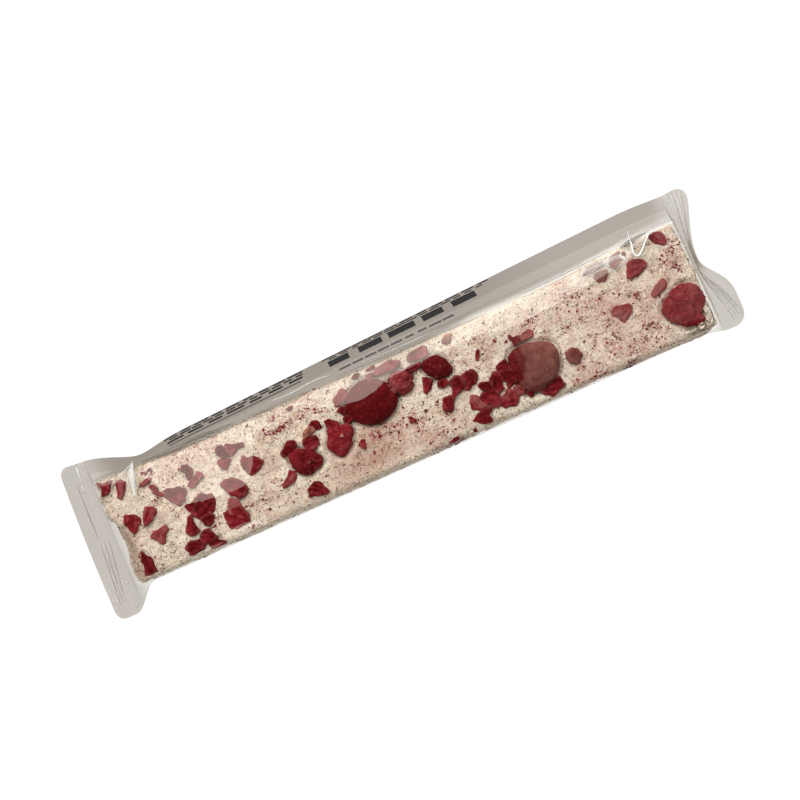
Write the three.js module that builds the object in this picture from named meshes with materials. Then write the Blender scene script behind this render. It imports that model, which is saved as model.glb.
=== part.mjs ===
// A soft nougat bar with raspberries, sealed in a loose clear film pack.
// The pack is one closed solid, from the outside of the film inwards: the film over the bar, its slack
// along the far long side, and the flat crimped fin that seals each end.
// Units are millimetres, +Z is up, X runs along the bar and Y across it. The origin is on the surface that
// the pack lies on, under the middle of its box.

import * as THREE from 'three';
import { ParametricGeometry } from 'three/addons/geometries/ParametricGeometry.js';
import { mergeVertices } from 'three/addons/utils/BufferGeometryUtils.js';

// Driving dimensions
const BAR_LENGTH = 199;
const BAR_WIDTH = 34;
const BAR_HEIGHT = 14;
const FILM_GAP = 0.4; // the film stands this far off the bar's sides and top
const END_GAP = 1.5; // and this far off its ends
const FIN_LENGTH = 9.5; // flat length of an end seal
const FIN_THICKNESS = 0.8;
const FIN_HEIGHT = 6; // the seals, and the sides' furthest points, lie this far above the surface
const SWELL_LEFT = 21.2; // reach of the slack far side from the bar's centre line, at the left end
const SWELL_RIGHT = 30; // and at the right end
const EAR_LEFT_FAR = 26; // reach of each fin's corners from the bar's centre line
const EAR_LEFT_NEAR = 25;
const EAR_RIGHT_FAR = 29;
const EAR_RIGHT_NEAR = 19.2;
const CRIMP_PITCH = 1.5;
const CRIMP_DEPTH = 0.3;

// Sizes that follow from them, measured from the middle of the bar
const HALF_LENGTH = BAR_LENGTH / 2;
const WALL = BAR_WIDTH / 2 + FILM_GAP; // film beside the bar
const ROOT = HALF_LENGTH + END_GAP; // where upper and lower film meet
const END = ROOT + FIN_LENGTH;
const EAR_RUN_FAR = { start: ROOT - 18, stop: ROOT + 2 }; // a side runs out into the fin's corner over this
const EAR_RUN_NEAR = { start: ROOT - 6, stop: ROOT + 3.5 };
const DROP = { start: ROOT - 3.5, stop: ROOT }; // the film comes down from the bar to the fin over this

// Forms of the film
const NECK = { at: -84, depth: 1.3, spread: 8 }; // the slack side is drawn in beside the left fin
const SWELL_SHOULDER = 0.8; // share of the slack side's reach where the film starts to turn down
const FIN_SHOULDER = 0.97; // the same for the flat fins
const EDGE_ROUNDING = 10; // power of the norm that rounds the film's long edges
const FLAT_SINK = 0.25; // cut from the underside to leave it flat
const CORNER_LEFT = 3; // radius of the fins' outer corners
const CORNER_RIGHT = 4.5;
const CRIMPS = { start: 3, stop: FIN_LENGTH - 0.5 }; // crimped stretch of a fin, from its root
const FIN_EDGE = 0.4; // a fin thins to nothing over this length at its outer edge

// The left fin tips up evenly from its near corner to its far one. The right fin stands up round one fold.
const BEND_LENGTH = 1.5;
const LEFT_TIP = { middle: 20, perMillimetre: 0.8 }; // degrees
const RIGHT_FOLD = { at: 5, angle: 98, nearSpread: 11, farSpread: 23 };
const LEAST_BEND = 1e-3; // radians

// Whole raspberries that lift the film: place from the middle of the bar, radius and rise
const BERRIES = [
  { along: 92, across: -8, radius: 7, rise: 2.4 },
  { along: 40, across: -6, radius: 9, rise: 3.2 },
  { along: -11, across: 4, radius: 8, rise: 3.4 },
  { along: -1, across: 6, radius: 5, rise: 2.4 },
  { along: 11, across: 7, radius: 5.5, rise: 2.6 },
  { along: -25, across: -3, radius: 5, rise: 1.8 },
  { along: -37, across: -4, radius: 5, rise: 2.0 },
];
const TENT = 1.9; // the lifted film reaches this many berry radii

// Steps round the upper half of a section, in degrees from the far side, and stations along the pack
const ROUND_STEPS = [
  { from: 0, to: 50, count: 6 },
  { from: 50, to: 133, count: 16 },
  { from: 133, to: 180, count: 3 },
];
const SHOULDER_START = HALF_LENGTH - 4;
const STATION_STEPS = [
  { from: -END, to: -ROOT, count: 22 },
  { from: -ROOT, to: -SHOULDER_START, count: 8 },
  { from: -SHOULDER_START, to: SHOULDER_START, count: 48 },
  { from: SHOULDER_START, to: ROOT, count: 8 },
  { from: ROOT, to: END, count: 22 },
];
const WELD = 1e-3; // points closer than this are one

const { lerp, smoothstep, clamp, degToRad } = THREE.MathUtils;

// What the rounded outer corners of a fin take off its half width
function cornerCut(x) {
  const radius = x < 0 ? CORNER_LEFT : CORNER_RIGHT;
  const into = clamp(1 - (END - Math.abs(x)) / radius, 0, 1);
  return radius * (1 - Math.sqrt(1 - into * into));
}

// Reach of the film from the bar's centre line at a station, on the slack far side
function farReach(x) {
  const swell = lerp(SWELL_LEFT, SWELL_RIGHT, clamp((x + HALF_LENGTH) / BAR_LENGTH, 0, 1));
  const drawnIn = NECK.depth * Math.exp(-(((x - NECK.at) / NECK.spread) ** 2));
  const ear = x < 0 ? EAR_LEFT_FAR : EAR_RIGHT_FAR;
  const out = smoothstep(Math.abs(x), EAR_RUN_FAR.start, EAR_RUN_FAR.stop);
  return lerp(swell - drawnIn, ear, out) - cornerCut(x);
}

// The same on the near side, where the film lies close along the bar
function nearReach(x) {
  const ear = x < 0 ? EAR_LEFT_NEAR : EAR_RIGHT_NEAR;
  const out = smoothstep(Math.abs(x), EAR_RUN_NEAR.start, EAR_RUN_NEAR.stop);
  return lerp(WALL, ear, out) - cornerCut(x);
}

// How far the film has closed from the bar's full section (0) to the flat fin (1)
function closing(x) {
  return smoothstep(Math.abs(x), DROP.start, DROP.stop);
}

// Lift of the upper film over the whole raspberries
function lift(x, y) {
  const rises = BERRIES.map(({ along, across, radius, rise }) => {
    const away = Math.hypot(x - along, y - across) / (radius * TENT);
    return rise * (1 - smoothstep(away, 0, 1));
  });
  return Math.max(...rises);
}

// Angle at which a fin stands up from level, in radians
function finAngle(x, y) {
  if (x < 0) return degToRad(clamp(LEFT_TIP.middle + LEFT_TIP.perMillimetre * y, 0, 90));
  const spread = y < RIGHT_FOLD.at ? RIGHT_FOLD.nearSpread : RIGHT_FOLD.farSpread;
  return degToRad(RIGHT_FOLD.angle * Math.exp(-(((y - RIGHT_FOLD.at) / spread) ** 2)));
}

// Crimp ridges press upper and lower film of a fin together into one wavy sheet
function crimp(along) {
  if (along < CRIMPS.start || along > CRIMPS.stop) return 0;
  return (CRIMP_DEPTH / 2) * (1 - Math.cos((2 * Math.PI * (along - CRIMPS.start)) / CRIMP_PITCH));
}

// Turns a point of the level fin up: an arc over BEND_LENGTH, then straight on
function bendFin(x, y, height, target) {
  const along = Math.abs(x) - ROOT;
  const full = Math.max(finAngle(x, y), LEAST_BEND);
  const radius = BEND_LENGTH / full;
  const angle = full * Math.min(along / BEND_LENGTH, 1);
  const straight = Math.max(along - BEND_LENGTH, 0);
  const offset = height - FIN_HEIGHT + crimp(along);
  const outward = ROOT + radius * Math.sin(angle) + straight * Math.cos(angle) - offset * Math.sin(angle);
  const upward = radius * (1 - Math.cos(angle)) + straight * Math.sin(angle) + offset * Math.cos(angle);
  return target.set(Math.sign(x) * outward, y, FIN_HEIGHT + upward);
}

// One point of the film. The section is convex, with a top, a slanting shoulder and a side tip on each side.
// In shares of its reach and height it is the norm max(|z|, |y| + (1 - shoulder) |z|) = 1, rounded off.
function filmPoint(x, turn, target) {
  const far = Math.cos(turn) > 0;
  const upper = Math.sin(turn) > 0;
  const reach = far ? farReach(x) : nearReach(x);
  const closed = closing(x);
  const hull = Math.min(WALL / reach, 1);
  const shoulder = lerp(far ? Math.max(SWELL_SHOULDER, hull) : hull, FIN_SHOULDER, closed);
  const c = Math.abs(Math.cos(turn));
  const s = Math.abs(Math.sin(turn));
  const scale = (s ** EDGE_ROUNDING + (c + (1 - shoulder) * s) ** EDGE_ROUNDING) ** (-1 / EDGE_ROUNDING);
  const y = (far ? 1 : -1) * reach * c * scale;
  const share = s * scale;
  const thin = clamp((END - Math.abs(x)) / FIN_EDGE, 0, 1) * (FIN_THICKNESS / 2);
  const fullHeight = upper ? BAR_HEIGHT + FILM_GAP - FIN_HEIGHT : FIN_HEIGHT + FLAT_SINK;
  const offset = share * lerp(fullHeight, thin, closed);
  const raised = upper ? offset + lift(x, y) * share ** 2 * (1 - closed) : -offset;
  const height = Math.max(FIN_HEIGHT + raised, 0);
  return Math.abs(x) > ROOT ? bendFin(x, y, height, target) : target.set(x, y, height);
}

// Spreads even steps over each stretch of a list, without its last point
function spread(stretches) {
  return stretches.flatMap(({ from, to, count }) =>
    Array.from({ length: count }, (_, i) => lerp(from, to, i / count)));
}

// Angles round a section, the same below as above, so that the fins' outer edges close
function sectionTurns() {
  const upper = spread(ROUND_STEPS);
  const lower = upper.slice(1).reverse().map((turn) => 360 - turn);
  return [...upper, 180, ...lower, 360].map(degToRad);
}

// Reads a list at a share from 0 to 1 of its length
function readAt(list, share) {
  const place = share * (list.length - 1);
  const i = Math.min(Math.floor(place), list.length - 2);
  return lerp(list[i], list[i + 1], place - i);
}

function packGeometry() {
  const turns = sectionTurns();
  const places = [...spread(STATION_STEPS), END];
  const surface = (u, v, target) => filmPoint(readAt(places, v), readAt(turns, u), target);
  const sheet = new ParametricGeometry(surface, turns.length - 1, places.length - 1);
  sheet.deleteAttribute('normal');
  sheet.deleteAttribute('uv');
  const closed = mergeVertices(sheet, WELD);
  closed.computeBoundingBox();
  const middle = closed.boundingBox.getCenter(new THREE.Vector3());
  closed.translate(-middle.x, -middle.y, -closed.boundingBox.min.z);
  closed.computeVertexNormals();
  return closed;
}

const film = new THREE.MeshStandardMaterial({ color: 0xdccfb8, roughness: 0.25, metalness: 0 });

const wrappedBar = new THREE.Mesh(packGeometry(), film);
wrappedBar.name = 'wrapped_bar';

const part = new THREE.Group();
part.add(wrappedBar);

export default part;
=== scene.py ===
# %% [markdown]
# A nougat bar with raspberries in a clear film pack.
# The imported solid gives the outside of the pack. This lesson replaces it with what the eye sees: a block of
# nougat, dried raspberries whole and in bits, crumbs and specks, and a thin clear film drawn over them.
# The contents come first, because the film takes its shape from what lies under it.

# %% Load the frame
import itertools
import math
from collections import namedtuple

import bmesh
import bpy
import numpy as np
from mathutils import Matrix, Vector


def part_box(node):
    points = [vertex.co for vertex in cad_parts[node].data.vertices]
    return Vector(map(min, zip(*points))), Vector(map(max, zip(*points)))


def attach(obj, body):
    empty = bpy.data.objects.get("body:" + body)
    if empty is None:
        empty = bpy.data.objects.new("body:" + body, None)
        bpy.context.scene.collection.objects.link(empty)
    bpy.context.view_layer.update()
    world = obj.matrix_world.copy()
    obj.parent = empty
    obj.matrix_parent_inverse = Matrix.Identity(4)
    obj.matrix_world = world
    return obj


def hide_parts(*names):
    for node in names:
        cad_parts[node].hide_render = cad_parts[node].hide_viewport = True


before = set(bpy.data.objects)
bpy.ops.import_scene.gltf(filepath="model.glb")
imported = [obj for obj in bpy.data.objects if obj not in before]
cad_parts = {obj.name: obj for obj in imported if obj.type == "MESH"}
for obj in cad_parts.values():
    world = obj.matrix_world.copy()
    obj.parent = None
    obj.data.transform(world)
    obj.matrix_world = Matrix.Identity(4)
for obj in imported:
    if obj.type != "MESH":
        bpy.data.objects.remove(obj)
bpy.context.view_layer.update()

MM = 0.001
pack_low, pack_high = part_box("wrapped_bar")
print("pack", [round((high - low) / MM, 1) for low, high in zip(pack_low, pack_high)], "mm")

# %% [markdown]
# The sizes of the real thing, in millimetres.
# They are the ones the solid was made from, so the looks and the solid agree. X runs along the bar and Y
# across it. The bar's centre line is not the middle of the pack, because the film is slack on its far side.

# %% Sizes of the bar and its pack
BAR_LENGTH = 199.0
BAR_HEIGHT = 14.0
BAR_WIDTH = 34.0
FILM_GAP = 0.4
END_GAP = 1.5
FIN_LENGTH = 9.5
FIN_HEIGHT = 6.0
EAR_LEFT_NEAR = 25.0
HALF_LENGTH = BAR_LENGTH / 2
WALL = BAR_WIDTH / 2 + FILM_GAP
ROOT = HALF_LENGTH + END_GAP
END = ROOT + FIN_LENGTH
CENTRE_LINE = pack_low[1] / MM + EAR_LEFT_NEAR
print("centre line of the bar at y", round(CENTRE_LINE, 2), "mm")

# %% [markdown]
# The camera looks steeply down on the pack, which lies turned on the table.
# A camera can be placed by hand with its rotation angles. Here it is built from three directions instead,
# right, up and back, because the same three directions later carry places read in the picture onto the bar.

# %% Camera
VIEW_TARGET = np.array([-1.9, 0.63, 7.0])
VIEW_TILT = math.radians(84)
VIEW_DISTANCE = 450.0
VIEW_WIDTH = 254.0
PICTURE_TURN = math.radians(24.05)
SENSOR = 36.0

view_up = np.array([math.sin(PICTURE_TURN), math.cos(PICTURE_TURN), 0.0])
view_back = np.array([0.0, 0.0, math.sin(VIEW_TILT)]) - view_up * math.cos(VIEW_TILT)
view_right = np.cross(view_up, view_back)
view_right /= np.linalg.norm(view_right)
view_top = np.cross(view_back, view_right)
view_eye = VIEW_TARGET + view_back * VIEW_DISTANCE

camera_data = bpy.data.cameras.new("camera")
camera_data.sensor_width = SENSOR
camera_data.lens = SENSOR * VIEW_DISTANCE / VIEW_WIDTH
camera = bpy.data.objects.new("camera", camera_data)
camera_axes = Matrix([view_right, view_top, view_back]).transposed().to_4x4()
camera.matrix_world = Matrix.Translation(Vector(view_eye * MM)) @ camera_axes
bpy.context.collection.objects.link(camera)
bpy.context.scene.camera = camera
print("lens", round(camera_data.lens, 1), "mm")

# %% [markdown]
# The berries lie where they lie: no rule gives their places, so they are read in the picture.
# They are read on the picture turned level, in millimetres along and across the bar from its middle.
# A place in a picture is a line of sight. Where that line meets the bar's top is the place on the bar.

# %% From the picture to the bar
PICTURE_CENTRE = np.array([404.6, 404.75])
PICTURE_MIDDLE = 400.0
PICTURE_PIXELS = 800.0
PIXELS_PER_MM = 3.15
picture_along = np.array([math.cos(PICTURE_TURN), -math.sin(PICTURE_TURN)])
picture_across = np.array([-math.sin(PICTURE_TURN), -math.cos(PICTURE_TURN)])


def on_bar(along, across, height=BAR_HEIGHT):
    """The point of the bar, in millimetres, that shows at this place of the level picture"""
    pixel = PICTURE_CENTRE + PIXELS_PER_MM * (along * picture_along + across * picture_across)
    slope = (pixel - PICTURE_MIDDLE) * VIEW_WIDTH / PICTURE_PIXELS / VIEW_DISTANCE
    sight = view_right * slope[0] - view_top * slope[1] - view_back
    return view_eye + sight * (height - view_eye[2]) / sight[2]


print("middle of the picture's bar", on_bar(0, 0).round(1))

# %% [markdown]
# Food is uneven. A smooth random field, added up at several sizes, gives lumps, wrinkles and patches.
# Blender has noise functions, but they take one point at a time. This one takes a whole array of points.
# Each corner of a grid cell gets a number hashed from its place, and the cell blends its eight corners.

# %% Random fields
HASH_STEPS = np.array([73856093, 19349663, 83492791], dtype=np.int64)
HASH_SEED_STEP = 7919
HASH_MASK = 0xFFFFFFFF
HASH_STIRS = ((13, 1274126177), (15, 668265263))
HASH_LAST_SHIFT = 16


def waves(points, size, seed):
    """Smooth random values from -1 to 1, with lumps of about this size in millimetres"""
    cells = points / size
    base = np.floor(cells).astype(np.int64)
    part = cells - base
    fade = part * part * (3 - 2 * part)
    total = np.zeros(len(points))
    for corner in itertools.product((0, 1), repeat=3):
        code = ((base + corner) @ HASH_STEPS + seed * HASH_SEED_STEP) & HASH_MASK
        for shift, factor in HASH_STIRS:
            code = ((code ^ (code >> shift)) * factor) & HASH_MASK
        value = (code ^ (code >> HASH_LAST_SHIFT)) / (HASH_MASK / 2) - 1
        total += value * np.prod(np.where(corner, fade, 1 - fade), axis=1)
    return total


def layers(points, rows):
    """Random fields added up: rows of size, weight and seed"""
    return sum(weight * waves(points, size, seed) for size, weight, seed in rows)


def ease(value, start, stop):
    """Rises smoothly from 0 at start to 1 at stop"""
    share = np.clip((value - start) / (stop - start), 0, 1)
    return share * share * (3 - 2 * share)


# %% Helpers for meshes and node trees
def fill(tree, socket, value):
    """Gives a socket a number, a colour or the link from another socket"""
    if isinstance(value, bpy.types.NodeSocket):
        tree.links.new(value, socket)
    else:
        socket.default_value = value


def add(tree, kind, settings=None, values=(), **inputs):
    """Adds a node. Settings are its properties, values and inputs its sockets: numbers or other sockets"""
    node = tree.nodes.new(kind)
    for name, value in (settings or {}).items():
        setattr(node, name, value)
    named = [(name.replace("_", " "), value) for name, value in inputs.items()]
    for key, value in [*enumerate(values), *named]:
        fill(tree, node.inputs[key], value)
    return node


def calculate(tree, operation, *values, clamp=False):
    """One step of arithmetic on numbers"""
    return add(tree, "ShaderNodeMath", {"operation": operation, "use_clamp": clamp}, values).outputs[0]


def calculate_vector(tree, operation, *values, **inputs):
    """One step of arithmetic on vectors"""
    return add(tree, "ShaderNodeVectorMath", {"operation": operation}, values, **inputs).outputs[0]


def remap(tree, value, given=(0, 1), wanted=(0, 1)):
    """Carries the given range of a value over to the wanted range, and holds it there"""
    return add(tree, "ShaderNodeMapRange", Value=value, From_Min=given[0], From_Max=given[1],
               To_Min=wanted[0], To_Max=wanted[1]).outputs["Result"]


def random_value(tree, seed, low, high, vector=False):
    """A random number, or a random vector, between two limits for each point"""
    kind = "FLOAT_VECTOR" if vector else "FLOAT"
    node = add(tree, "FunctionNodeRandomValue", {"data_type": kind}, Seed=seed)
    first = 0 if vector else 2
    fill(tree, node.inputs[first], low)
    fill(tree, node.inputs[first + 1], high)
    return node.outputs[0 if vector else 1]


def painted(tree, name):
    """The number painted on a mesh under this name"""
    return add(tree, "ShaderNodeAttribute", {"attribute_name": name}).outputs["Fac"]


def noise(tree, place, **sizes):
    """A random field in a material"""
    return add(tree, "ShaderNodeTexNoise", Vector=place, **sizes).outputs[0]


def new_piece(name, mesh):
    piece = bpy.data.objects.new(name, mesh)
    bpy.context.collection.objects.link(piece)
    return piece


def mesh_of(name, points, faces):
    """A mesh from points in millimetres"""
    mesh = bpy.data.meshes.new(name)
    mesh.from_pydata((np.asarray(points) * MM).tolist(), [], faces)
    mesh.update()
    return mesh


def apply_modifiers(piece):
    """Turns a piece with modifiers into a plain mesh"""
    depsgraph = bpy.context.evaluated_depsgraph_get()
    plain = bpy.data.meshes.new_from_object(piece.evaluated_get(depsgraph))
    piece.modifiers.clear()
    piece.data = plain


def points_of(mesh):
    flat = np.empty(len(mesh.vertices) * 3)
    mesh.vertices.foreach_get("co", flat)
    return flat.reshape(-1, 3) / MM


def normals_of(mesh):
    flat = np.empty(len(mesh.vertices) * 3)
    mesh.vertex_normals.foreach_get("vector", flat)
    return flat.reshape(-1, 3)


def set_points(mesh, points):
    mesh.vertices.foreach_set("co", (points * MM).ravel())
    mesh.update()


def set_attribute(mesh, name, values):
    attribute = mesh.attributes.new(name, "FLOAT", "POINT")
    attribute.data.foreach_set("value", np.asarray(values, dtype=np.float32))


def smooth_shading(mesh):
    mesh.polygons.foreach_set("use_smooth", np.ones(len(mesh.polygons), dtype=bool))


def new_material(name):
    """An empty material: its node tree and its output"""
    material = bpy.data.materials.new(name)
    material.use_nodes = True
    tree = material.node_tree
    tree.nodes.clear()
    return material, tree, add(tree, "ShaderNodeOutputMaterial")


def blend_colours(tree, share, low, high):
    """Mixes two colours, or colour sockets, by a share"""
    node = add(tree, "ShaderNodeMix", {"data_type": "RGBA"})
    for key, value in ((0, share), (6, low), (7, high)):
        fill(tree, node.inputs[key], value)
    return node.outputs[2]


# %% [markdown]
# Nougat is a beaten mass of honey, sugar and egg white. It is cut into a bar while it is still soft, so its
# edges are round, its faces uneven and its cut ends torn.
# A bevelled box, remeshed to small even squares, gives enough points to push every face about alike.

# %% The nougat's plain block
BAR_FLOOR = 0.3
BAR_TOP = 13.7
BAR_NEAR = -17.0
BAR_FAR_MIDDLE = 16.3
BAR_FAR_RIGHT = 19.2
BAR_FAR_LEFT = 17.4
SPREAD_RIGHT = (45, 102)
SPREAD_LEFT = (-104, -64)
BAR_EDGE = 1.6
BAR_LOWER_EDGE = 0.5
EDGE_SEGMENTS = 3
SHARP_ANGLE = 0.5
REMESH_STEP = 0.55
BLOCK_CUTS = (-84, -66, 45, 62, 80)


def far_side(x):
    """The bar's far side, from its centre line: it spreads towards both ends"""
    right = (BAR_FAR_RIGHT - BAR_FAR_MIDDLE) * ease(x, *SPREAD_RIGHT)
    left = (BAR_FAR_LEFT - BAR_FAR_MIDDLE) * (1 - ease(x, *SPREAD_LEFT))
    return BAR_FAR_MIDDLE + right + left


def plain_block():
    shape = bmesh.new()
    bmesh.ops.create_cube(shape, size=1)
    for cut in BLOCK_CUTS:
        bmesh.ops.bisect_plane(shape, geom=[*shape.verts, *shape.edges, *shape.faces],
                               plane_co=(cut / BAR_LENGTH, 0, 0), plane_no=(1, 0, 0))
    for corner in shape.verts:
        x = corner.co.x * BAR_LENGTH
        y = BAR_NEAR if corner.co.y < 0 else far_side(x)
        z = BAR_FLOOR if corner.co.z < 0 else BAR_TOP
        corner.co = Vector((x, CENTRE_LINE + y, z)) * MM
    middle = (BAR_FLOOR + BAR_TOP) / 2 * MM
    for size, above in ((BAR_LOWER_EDGE, False), (BAR_EDGE, True)):
        sharp = [edge for edge in shape.edges if edge.calc_face_angle(0) > SHARP_ANGLE
                 and (max(corner.co.z for corner in edge.verts) > middle) == above]
        bmesh.ops.bevel(shape, geom=sharp, offset=size * MM, segments=EDGE_SEGMENTS, profile=0.5,
                        affect="EDGES")
    mesh = bpy.data.meshes.new("nougat")
    shape.to_mesh(mesh)
    shape.free()
    return mesh


nougat = new_piece("nougat", plain_block())
remesh = nougat.modifiers.new("even squares", "REMESH")
remesh.mode = "VOXEL"
remesh.voxel_size = REMESH_STEP * MM
apply_modifiers(nougat)
print("nougat points", len(nougat.data.vertices))

# %% [markdown]
# Fruit breaks as it likes, so each outline is read in the picture too, as a few corners.
# Cutting the corners of such a polygon again and again rounds it. That is the simplest smooth curve there
# is, and unlike a fitted spline it never swings out beyond the corners that were read.

# %% Rounded outlines
CUT_SHARE = 0.25
BERRY_CUTS = (2, CUT_SHARE)
BIT_CUTS = (1, 0.15)
OUTLINE_SIDES = 48
CUT_LOSS = 1.04


def cut_corners(corners, rounds, closed, part=CUT_SHARE):
    """Rounds a line, or a closed outline, by cutting its corners at a part of each side"""
    line = np.asarray(corners, dtype=float)
    for _ in range(rounds):
        before = line if closed else line[:-1]
        after = np.roll(line, -1, axis=0) if closed else line[1:]
        step = part * (after - before)
        cut = np.stack([before + step, after - step], axis=1).reshape(-1, 2)
        line = cut if closed else np.concatenate([line[:1], cut, line[-1:]])
    return line


def along_line(line):
    """Length of a line up to each of its points"""
    return np.concatenate([[0], np.cumsum(np.linalg.norm(np.diff(line, axis=0), axis=1))])


def outline_on_bar(corners, height, cuts):
    """An outline read in the picture, rounded, as even points on the bar in millimetres"""
    rounds, part = cuts
    line = cut_corners([on_bar(along, across, height)[:2] for along, across in corners], rounds, True, part)
    closed = np.concatenate([line, line[:1]])
    run = along_line(closed)
    places = np.arange(OUTLINE_SIDES) * run[-1] / OUTLINE_SIDES
    even = np.stack([np.interp(places, run, column) for column in closed.T], axis=1)
    return even.mean(0) + CUT_LOSS * (even - even.mean(0))


# %% The whole raspberries: rise, tone, bumps, wrinkles and the corners of the outline, along and across
Berry = namedtuple("Berry", "rise tone bumps wrinkles corners")
BERRIES = {
    "end": Berry(1.9, 1.05, 0.00, 0.65, [
        (87.4, -5.0), (91.5, -2.2), (95.2, -0.5), (98.5, -1.6), (99.9, -2.5), (100.2, -4.0), (100.8, -5.5),
        (100.4, -6.6), (101.1, -7.9), (100.8, -9.0), (99.7, -9.5), (99.4, -10.8), (98.6, -11.4),
        (98.7, -13.0), (97.9, -14.3), (96.4, -14.9), (94.2, -14.1), (92.0, -14.1), (90.3, -12.2),
        (88.3, -9.8), (87.4, -6.9)]),
    # The egg's pale grey-rose tone is painted reflection of the film over it; its fibrous flank keeps the
    # fruit's own dark red
    "egg": Berry(3.4, -2.35, 0.00, 0.20, [
        (35.5, -2.6), (36.5, 0.6), (39.0, 1.9), (42.0, 2.5), (45.2, 1.7), (48.4, 0.5), (50.8, -0.9),
        (51.8, -3.4), (51.3, -6.2), (49.6, -9.6), (47.0, -11.9), (44.0, -13.3), (41.0, -13.5),
        (38.0, -12.3), (36.0, -9.8)]),
    "dark": Berry(3.2, 0.02, 0.00, 0.35, [
        (-17.6, 5.4), (-16.0, 9.6), (-12.2, 12.2), (-8.0, 12.5), (-3.0, 10.4), (-0.6, 5.6), (-1.6, 1.2),
        (-5.6, -1.2), (-9.6, -2.2), (-13.6, -0.6), (-16.6, 2.2)]),
    "rosy": Berry(2.8, 1.25, 0.30, 0.6, [
        (-3.0, 7.0), (-1.6, 10.6), (1.4, 10.9), (4.6, 10.2), (6.2, 8.0), (5.6, 5.2), (3.0, 2.3),
        (0.0, 3.8), (-2.6, 4.8)]),
    "crown": Berry(2.6, 0.06, 0.00, 0.5, [
        (9.6, 8.4), (11.0, 10.7), (14.4, 11.1), (16.6, 9.4), (18.9, 5.2), (17.4, 2.7), (12.8, 2.9),
        (10.9, 5.4)]),
    "velvet": Berry(1.9, 0.40, 0.00, 0.8, [
        (-40.6, -2.0), (-40.2, 0.7), (-36.6, 1.1), (-33.2, -0.8), (-30.6, -4.2), (-31.8, -6.7),
        (-34.0, -7.4), (-36.2, -8.4), (-37.6, -7.0), (-39.8, -5.4)]),
    "rosette": Berry(1.7, 1.05, 0.00, 0.6, [
        (-28.0, -2.0), (-25.8, 0.6), (-25.8, 2.9), (-23.0, 3.1), (-21.0, 1.8), (-19.0, 2.1), (-17.8, -0.4),
        (-19.2, -3.6), (-21.6, -5.8), (-24.4, -7.0), (-26.0, -5.6), (-26.4, -4.0)]),
}
berry_outlines = {name: outline_on_bar(berry.corners, BAR_HEIGHT + berry.rise / 3, BERRY_CUTS)
                  for name, berry in BERRIES.items()}
for name, line in berry_outlines.items():
    print("whole raspberry", name, np.ptp(line, axis=0).round(1), "mm")

# %% Uneven faces, torn ends and a groove round each berry
LUMPS = ((19.0, 0.30, 0), (6.5, 0.22, 1), (2.6, 0.18, 2), (1.2, 0.13, 3))
TEARS = ((7.0, 0.9, 11), (3.0, 0.6, 12), (1.4, 0.3, 13))
TORN_LEFT = 0.8
TORN_RIGHT = 0.4
TORN_LEFT_RUN = (-98, -94)
TORN_RIGHT_RUN = (97, 99)
FLAKY_ALONG = (86, 92)
FLAKY_ACROSS = (-14.5, -12)
FLAKY_SINK = 0.5
SLANT_LEAST = -0.4
SLANT_MORE = 5.2
SLANT_ACROSS = (-13, 10)
SLANT_UP = (5, 13)
SLANT_ALONG = (-98, -86)
SLANT_WAVES = ((4.0, 0.6, 21),)
PITS = ((2.2, 1.0, 31),)
PIT_LEVEL = 0.42
UPPER_PART = (10, 13)
GROOVE_DEPTH = 0.9
GROOVE_WIDTH = 0.9


def berry_share(points, name):
    """Distance of points from a berry's middle, in shares of its radius that way, and its mean radius"""
    middle = berry_outlines[name].mean(0)
    arms = berry_outlines[name] - middle
    offset = points[:, :2] - middle
    turns, radii = np.arctan2(arms[:, 1], arms[:, 0]), np.hypot(arms[:, 0], arms[:, 1])
    edge = np.interp(np.arctan2(offset[:, 1], offset[:, 0]), turns, radii, period=2 * np.pi)
    return np.hypot(offset[:, 0], offset[:, 1]) / edge, radii.mean()


def slant_left_end(points):
    """The left end is broken off aslant: its upper edge draws back, most of all at the near corner"""
    across = points[:, 1] - CENTRE_LINE
    back = SLANT_LEAST + SLANT_MORE * (1 - ease(across, *SLANT_ACROSS))
    back += layers(points * (0, 1, 0), SLANT_WAVES)
    return back * ease(points[:, 2], *SLANT_UP) * (1 - ease(points[:, 0], *SLANT_ALONG))


def roughen_nougat(mesh):
    """Pushes the nougat's points out and in: lumps, pits, torn ends and a groove round each berry"""
    points = points_of(mesh)
    normals = normals_of(mesh)
    points[:, 0] += slant_left_end(points)
    across = points[:, 1] - CENTRE_LINE
    push = layers(points, LUMPS) - np.clip(layers(points, PITS) - PIT_LEVEL, 0, 1)
    left_end = TORN_LEFT * (1 - ease(points[:, 0], *TORN_LEFT_RUN))
    right_end = TORN_RIGHT * ease(points[:, 0], *TORN_RIGHT_RUN)
    flaky = ease(points[:, 0], *FLAKY_ALONG) * (1 - ease(across, *FLAKY_ACROSS))
    torn = np.maximum(np.maximum(left_end, right_end), flaky)
    push += layers(points, TEARS) * torn - FLAKY_SINK * flaky
    upper = ease(points[:, 2], *UPPER_PART)
    for name in BERRIES:
        share, radius = berry_share(points, name)
        outside = (share - 1) * radius
        push -= upper * GROOVE_DEPTH * np.exp(-(outside / GROOVE_WIDTH) ** 2)
    points += normals * push[:, None]
    points[:, 2] = np.maximum(points[:, 2], BAR_FLOOR)
    set_points(mesh, points)


roughen_nougat(nougat.data)
smooth_shading(nougat.data)
print("nougat box", points_of(nougat.data).min(0).round(1), points_of(nougat.data).max(0).round(1))

# %% [markdown]
# Much of what lies on the bar needs to know how high the bar is at a place.
# A ray cast would tell, one ray at a time. A grid that keeps the highest point over each cell is quicker to
# read for many places at once, and later the film is draped over the same kind of grid.

# %% Height grids
GRID_STEP = 0.75
GRID_ALONG = (-104, 104.1)
GRID_ACROSS = (-21, 30.1)
GRID_X = np.arange(*GRID_ALONG, GRID_STEP)
GRID_Y = np.arange(*GRID_ACROSS, GRID_STEP)
LAST_CELL = 1.001


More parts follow.
